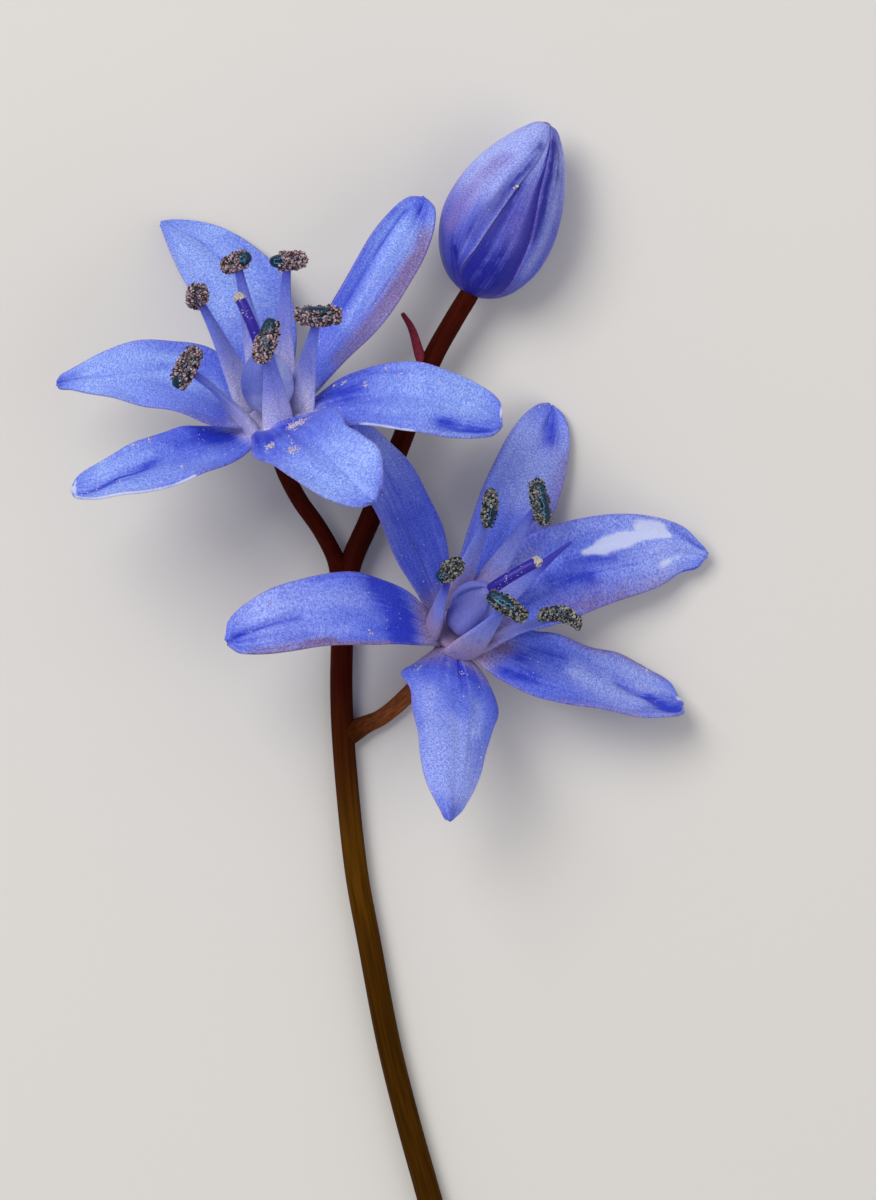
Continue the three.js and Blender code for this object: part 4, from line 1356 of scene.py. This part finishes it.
def ovary_surface(settings):
    """Where a point of a ball goes on the ovary: three lobes with a furrow between them,
    each with a fine line down its back, drawn up to a short beak."""
    radius, height = settings.ovary_diameter / 2 / MM, settings.ovary_height / MM

    def place(v):
        around = math.atan2(v.y, v.x) + math.radians(OVARY_TURN)
        seam = abs(math.cos(1.5 * around))
        back = abs(math.sin(1.5 * around))
        dip = 0.2 * bump(seam, 0, 0.45) + 0.06 * bump(back, 0, 0.2)
        out = radius * (1 - dip * (1 - v.z**2) ** 0.5) * (1 - 0.08 * v.z)
        rise = (v.z + 1) / 2 * height + 0.15 * smoothstep(0.85, 1, v.z)
        shade = min(seam, 0.35 + 2 * back)
        return Vector((v.x * out, v.y * out, OVARY_BOTTOM + rise)), (shade, v.z, v.x - v.z), 1

    return place


def style_surface(stigma, settings):
    foot = Vector((0, 0, OVARY_BOTTOM + settings.ovary_height / MM * STYLE_START))
    tip = polar(*stigma)
    middle = bow(foot, Vector((0, 0, (foot.z + tip.z) / 2)), tip)

    def place(v):
        share = v.z + 0.5
        point, _, side, face = across_line(middle, share, Vector((1, 0, 0)))
        radius = mix(settings.style_foot, settings.style_tip, smoothstep(0, 0.8, share)) / 2 / MM
        return point + (side * v.x + face * v.y) * radius, (v.x, share, 0), 1

    return place


def stigma_spots(centre, size, draw):
    """Places in metres for the crumbs of a ragged stigma."""
    for _ in range(STIGMA_CRUMBS):
        way = Vector((draw.gauss(0, 1), draw.gauss(0, 1), draw.gauss(0, 1))).normalized()
        crumb = size * draw.uniform(0.2, 0.36)
        yield centre + way * size * STIGMA_REACH, crumb


class SQUILL_OT_pistils(Operator):
    """Models each flower's lobed ovary, its style and its ragged stigma"""

    bl_idname = "squill.pistils"
    bl_label = "Pistils"

    def execute(self, context):
        s = context.scene.squill_pistils
        violet = style_material("style_skin", s)
        fringe = crumb_material("stigma_fringe", s.streak, s.cream)
        for flower in FLOWERS:
            name, node = flower.name, f"flower_{flower.name}_pistil"
            wall = ovary_material(f"{name}_ovary_wall", s, *shades(s, flower, "wall", "bloom"))
            ovary = add_ball(f"{name}_ovary", 48, 28, wall)
            shaped(ovary, ovary_surface(s))
            style = add_tube(f"{name}_style", 16, 18, violet)
            shaped(style, style_surface(flower.stigma, s))
            for piece in (ovary, style):
                placed(piece, in_plant(flower))
                smoothed(piece)
                finished(piece, "pistil", node)
            draw = random.Random(SEED)
            centre = in_plant(flower) @ (polar(*flower.stigma) * MM)
            spots = list(stigma_spots(centre, s.stigma, draw))
            finished(crumbs(f"{name}_stigma", spots, draw, fringe), "pistil", node)
        return {"FINISHED"}


def bud_matrix():
    """The bud's own frame, along Z from its foot, in metres."""
    turn = UP.rotation_difference((BUD_TIP - BUD_FOOT).normalized())
    return Matrix.Translation(BUD_FOOT * MM) @ turn.to_matrix().to_4x4()


def bud_radius(share):
    swell = max(0, math.sin(math.pi * share**BUD_BELLY_SHIFT)) ** BUD_FULLNESS
    return BUD_WIDTH / 2 * swell


def strip_half_angle(share):
    return mix(BUD_STRIP_FOOT, BUD_STRIP_TIP, share) + BUD_STRIP_FLARE * bump(share, 0.04, 0.12)


def bud_twist(share):
    """How far the tepals turn about the bud where they close over its tip, in degrees."""
    return BUD_TWIST * smoothstep(0.6, 1, share)


def on_table(piece):
    """Flattens what would lie below the table."""
    for vertex in piece.data.vertices:
        vertex.co.z = max(vertex.co.z, 0)


def inner_bud_surface(v):
    """Where a point of a ball goes on the three inner tepals, closed over each other."""
    turn = math.degrees(math.atan2(v.y, v.x))
    share = (v.z + 1) / 2
    apart = (turn - BUD_STRIP_TURN + BUD_HALF_TEPAL) % (2 * BUD_HALF_TEPAL) - BUD_HALF_TEPAL
    across = apart / strip_half_angle(share)
    crease = 0.015 * bump(across, -0.05, 0.1) * smoothstep(0.5, 0.2, share) - 0.02 * bump(across, 0.1, 0.5)
    out = bud_radius(share) * (1 - BUD_RELIEF - crease)
    return polar(turn + bud_twist(share), out, share * BUD_LENGTH), (across, share, 5), 1


def outer_bud_surface(tepal, settings):
    """Where a point of a flat grid goes on one of the three outer tepals."""

    def place(flat):
        across, share = -flat.x, mix(0.004, 0.996, flat.y / 2 + 0.5)
        open_share = tepal.near if across > 0 else tepal.far
        reach = BUD_HALF_TEPAL - strip_half_angle(share) * open_share
        turn = tepal.centre - across * reach + bud_twist(share)
        keel = bump(across, 0, 0.16) - 0.5 * bump(abs(across), 0.3, 0.12)
        lift = settings.keel / MM * keel * smoothstep(0, 0.3, share)
        lift += 0.08 * smoothstep(0.93, 0.99, share) + 0.03 * noise.noise(Vector((across * 2, share * 6, 0)))
        lift += tepal.bulge * bump(across, 0.6, 0.5) * math.sin(math.pi * share)
        point = polar(turn, bud_radius(share) + lift, share * BUD_LENGTH)
        return point, (across, share, tepal.centre), mix(1, 0.5, across**2)

    return place


class SQUILL_OT_bud(Operator):
    """Models the closed bud: three outer tepals over three inner ones"""

    bl_idname = "squill.bud"
    bl_label = "Bud"

    def execute(self, context):
        s = context.scene.squill_bud
        skin = petal_material("bud_skin", s, s.foot, s.light)
        inner = add_ball("bud_inner_tepals", 72, 40, skin)
        shaped(inner, inner_bud_surface)
        painted(inner, BUD_STRIP_PAINT, BUD_STRIP_PAINT_WIDTH, BUD_LENGTH)
        placed(inner, bud_matrix())
        pieces = [inner]
        grid = bpy.ops.mesh.primitive_grid_add
        steps = {"x_subdivisions": 24, "y_subdivisions": 48, "size": 2}
        for number, tepal in enumerate(BUD_TEPALS, 1):
            outer = added(grid, f"bud_outer_tepal_{number}", skin, **steps)
            shaped(outer, outer_bud_surface(tepal, s))
            painted(outer, tepal.paint, BUD_PAINT_WIDTH, BUD_LENGTH)
            placed(outer, bud_matrix())
            apply_modifier(outer, "SOLIDIFY", thickness=s.thickness, offset=-1, vertex_group="flesh")
            pieces.append(outer)
        for piece in pieces:
            smoothed(piece)
            on_table(piece)
            finished(piece, "bud", "bud")
        surface = outer_bud_surface(BUD_TEPALS[2], s)
        spots = []
        for across, share, size in BUD_SPECKS:
            spot, _, _ = surface(Vector((-across, 2 * share - 1, 0)))
            spots.append((bud_matrix() @ (spot * MM), size * MM))
        pale = crumb_material("bud_speck_crumbs", s.speck, s.speck)
        finished(crumbs("bud_specks", spots, random.Random(SEED), pale), "bud", "bud")
        return {"FINISHED"}


def shoot_surface(points, radius_at, flatness=1):
    """Where a point of an upright tube goes on a stem along a route."""
    line = route(points)

    def place(v):
        share = v.z + 0.5
        point, _, side, face = across_line(line, share, UP)
        around = math.atan2(v.y, v.x) / math.pi
        radius = radius_at(share) * (1 + 0.02 * math.cos(around * math.pi * 7))
        return point + side * v.x * radius + face * v.y * radius * flatness, (around, share, 0), 1

    return place


class SQUILL_OT_stem(Operator):
    """Models the scape, the two stalks of the open flowers and the bract"""

    bl_idname = "squill.stem"
    bl_label = "Stem"

    def execute(self, context):
        s = context.scene.squill_stem

        def scape_radius(share):
            return mix(s.scape_foot, s.scape_top, share) / 2 / MM + 0.1 * smoothstep(0.97, 1, share)

        def stalk_radius(share):
            flare = 0.5 * bump(share, 0, 0.12) + 0.15 * smoothstep(0.9, 1, share)
            return s.pedicel / 2 / MM * (1 + flare)

        def bract_radius(share):
            return s.bract / 2 / MM * mix(1, 0.3, share)

        scape = [(0, s.olive), (0.25, s.olive), (0.32, s.tan), (0.345, s.tan)]
        scape += [(0.385, s.umber), (0.44, s.purple)]
        left, right = [(0, s.purple), (1, s.purple)], [(0.05, s.umber), (0.35, s.brown)]
        bract = [(0, s.purple), (0.25, s.maroon)]
        for name, stops, points, radius_at, sides, rings, flatness in (
            ("scape", scape, SCAPE, scape_radius, 20, 140, 1),
            ("left_pedicel", left, LEFT_PEDICEL, stalk_radius, 16, 40, 1),
            ("right_pedicel", right, RIGHT_PEDICEL, stalk_radius, 16, 40, 1),
            ("bract", bract, BRACT, bract_radius, 14, 24, 0.7),
        ):
            piece = add_tube(name, sides, rings, stem_material(f"{name}_skin", stops))
            shaped(piece, shoot_surface(points, radius_at, flatness))
            smoothed(piece)
            finished(piece, "stem", "stem")
        return {"FINISHED"}


class SQUILL_OT_cut_end(Operator):
    """Models the wet face where the scape was cut"""

    bl_idname = "squill.cut_end"
    bl_label = "Cut end"

    def execute(self, context):
        s = context.scene.squill_stem
        point, tangent = route(SCAPE)(0)
        piece = add_rings("cut_end", 32, s.scape_foot * 0.47, CUT_RINGS, cut_material("cut_flesh", s))
        turn = UP.rotation_difference(-tangent).to_matrix().to_4x4()
        placed(piece, Matrix.Translation(point * MM) @ turn)
        smoothed(piece)
        finished(piece, "stem", "stem")
        return {"FINISHED"}


class SQUILL_OT_stage(Operator):
    """Lays the pale floor and sets the soft lights and the camera that looks down"""

    bl_idname = "squill.stage"
    bl_label = "Stage"

    def execute(self, context):
        s = context.scene.squill_stage
        floor = added(bpy.ops.mesh.primitive_plane_add, "floor", paper_material("paper", s), size=FLOOR_SIZE)
        for name, place, size in LIGHTS:
            bpy.ops.object.light_add(type="AREA", location=place)
            light = bpy.context.active_object
            light.name = name
            light.data.size = size
            light.data.energy = getattr(s, name)
            light.rotation_euler = (LIGHTS_AIM - Vector(place)).to_track_quat("-Z", "Y").to_euler()
        world = context.scene.world or bpy.data.worlds.new("world")
        context.scene.world = world
        world.use_nodes = True
        sky = world.node_tree.nodes["Background"].inputs
        sky["Color"].default_value = linear(SKY)
        sky["Strength"].default_value = SKY_STRENGTH
        bpy.ops.object.camera_add(location=CAMERA_PLACE, rotation=(0, 0, 0))
        camera = bpy.context.active_object
        camera.data.lens = CAMERA_LENS
        camera.data.sensor_width = CAMERA_SENSOR
        context.scene.camera = camera
        context.scene.view_settings.view_transform = "Standard"
        return {"FINISHED"}


GROUPS = {
    "squill_tepals": TepalSettings,
    "squill_seats": SeatSettings,
    "squill_stamens": StamenSettings,
    "squill_pistils": PistilSettings,
    "squill_bud": BudSettings,
    "squill_stem": StemSettings,
    "squill_stage": StageSettings,
}
OPERATORS = (
    SQUILL_OT_stage, SQUILL_OT_stem, SQUILL_OT_cut_end, SQUILL_OT_bud, SQUILL_OT_seats, SQUILL_OT_tepals,
    SQUILL_OT_dust, SQUILL_OT_filaments, SQUILL_OT_anthers, SQUILL_OT_pollen, SQUILL_OT_pistils,
)


class SQUILL_PT_panel(Panel):
    bl_label = "Alpine squill"
    bl_idname = "SQUILL_PT_panel"
    bl_space_type = "VIEW_3D"
    bl_region_type = "UI"
    bl_category = "Squill"

    def draw(self, context):
        for group in GROUPS:
            box = self.layout.box()
            settings = getattr(context.scene, group)
            for name in settings.__annotations__:
                box.prop(settings, name)
        for operator in OPERATORS:
            self.layout.operator(operator.bl_idname)


CLASSES = (*GROUPS.values(), *OPERATORS, SQUILL_PT_panel)


def register():
    for made in CLASSES:
        bpy.utils.register_class(made)
    for name, group in GROUPS.items():
        setattr(bpy.types.Scene, name, PointerProperty(type=group))


def unregister():
    for name in GROUPS:
        delattr(bpy.types.Scene, name)
    for made in reversed(CLASSES):
        bpy.utils.unregister_class(made)


def main():
    register()
    bpy.ops.squill.stage()
    bpy.ops.squill.stem()
    bpy.ops.squill.cut_end()
    bpy.ops.squill.bud()
    bpy.ops.squill.seats()
    bpy.ops.squill.tepals()
    bpy.ops.squill.dust()
    bpy.ops.squill.filaments()
    bpy.ops.squill.anthers()
    bpy.ops.squill.pollen()
    bpy.ops.squill.pistils()


if __name__ == "__main__":
    main()
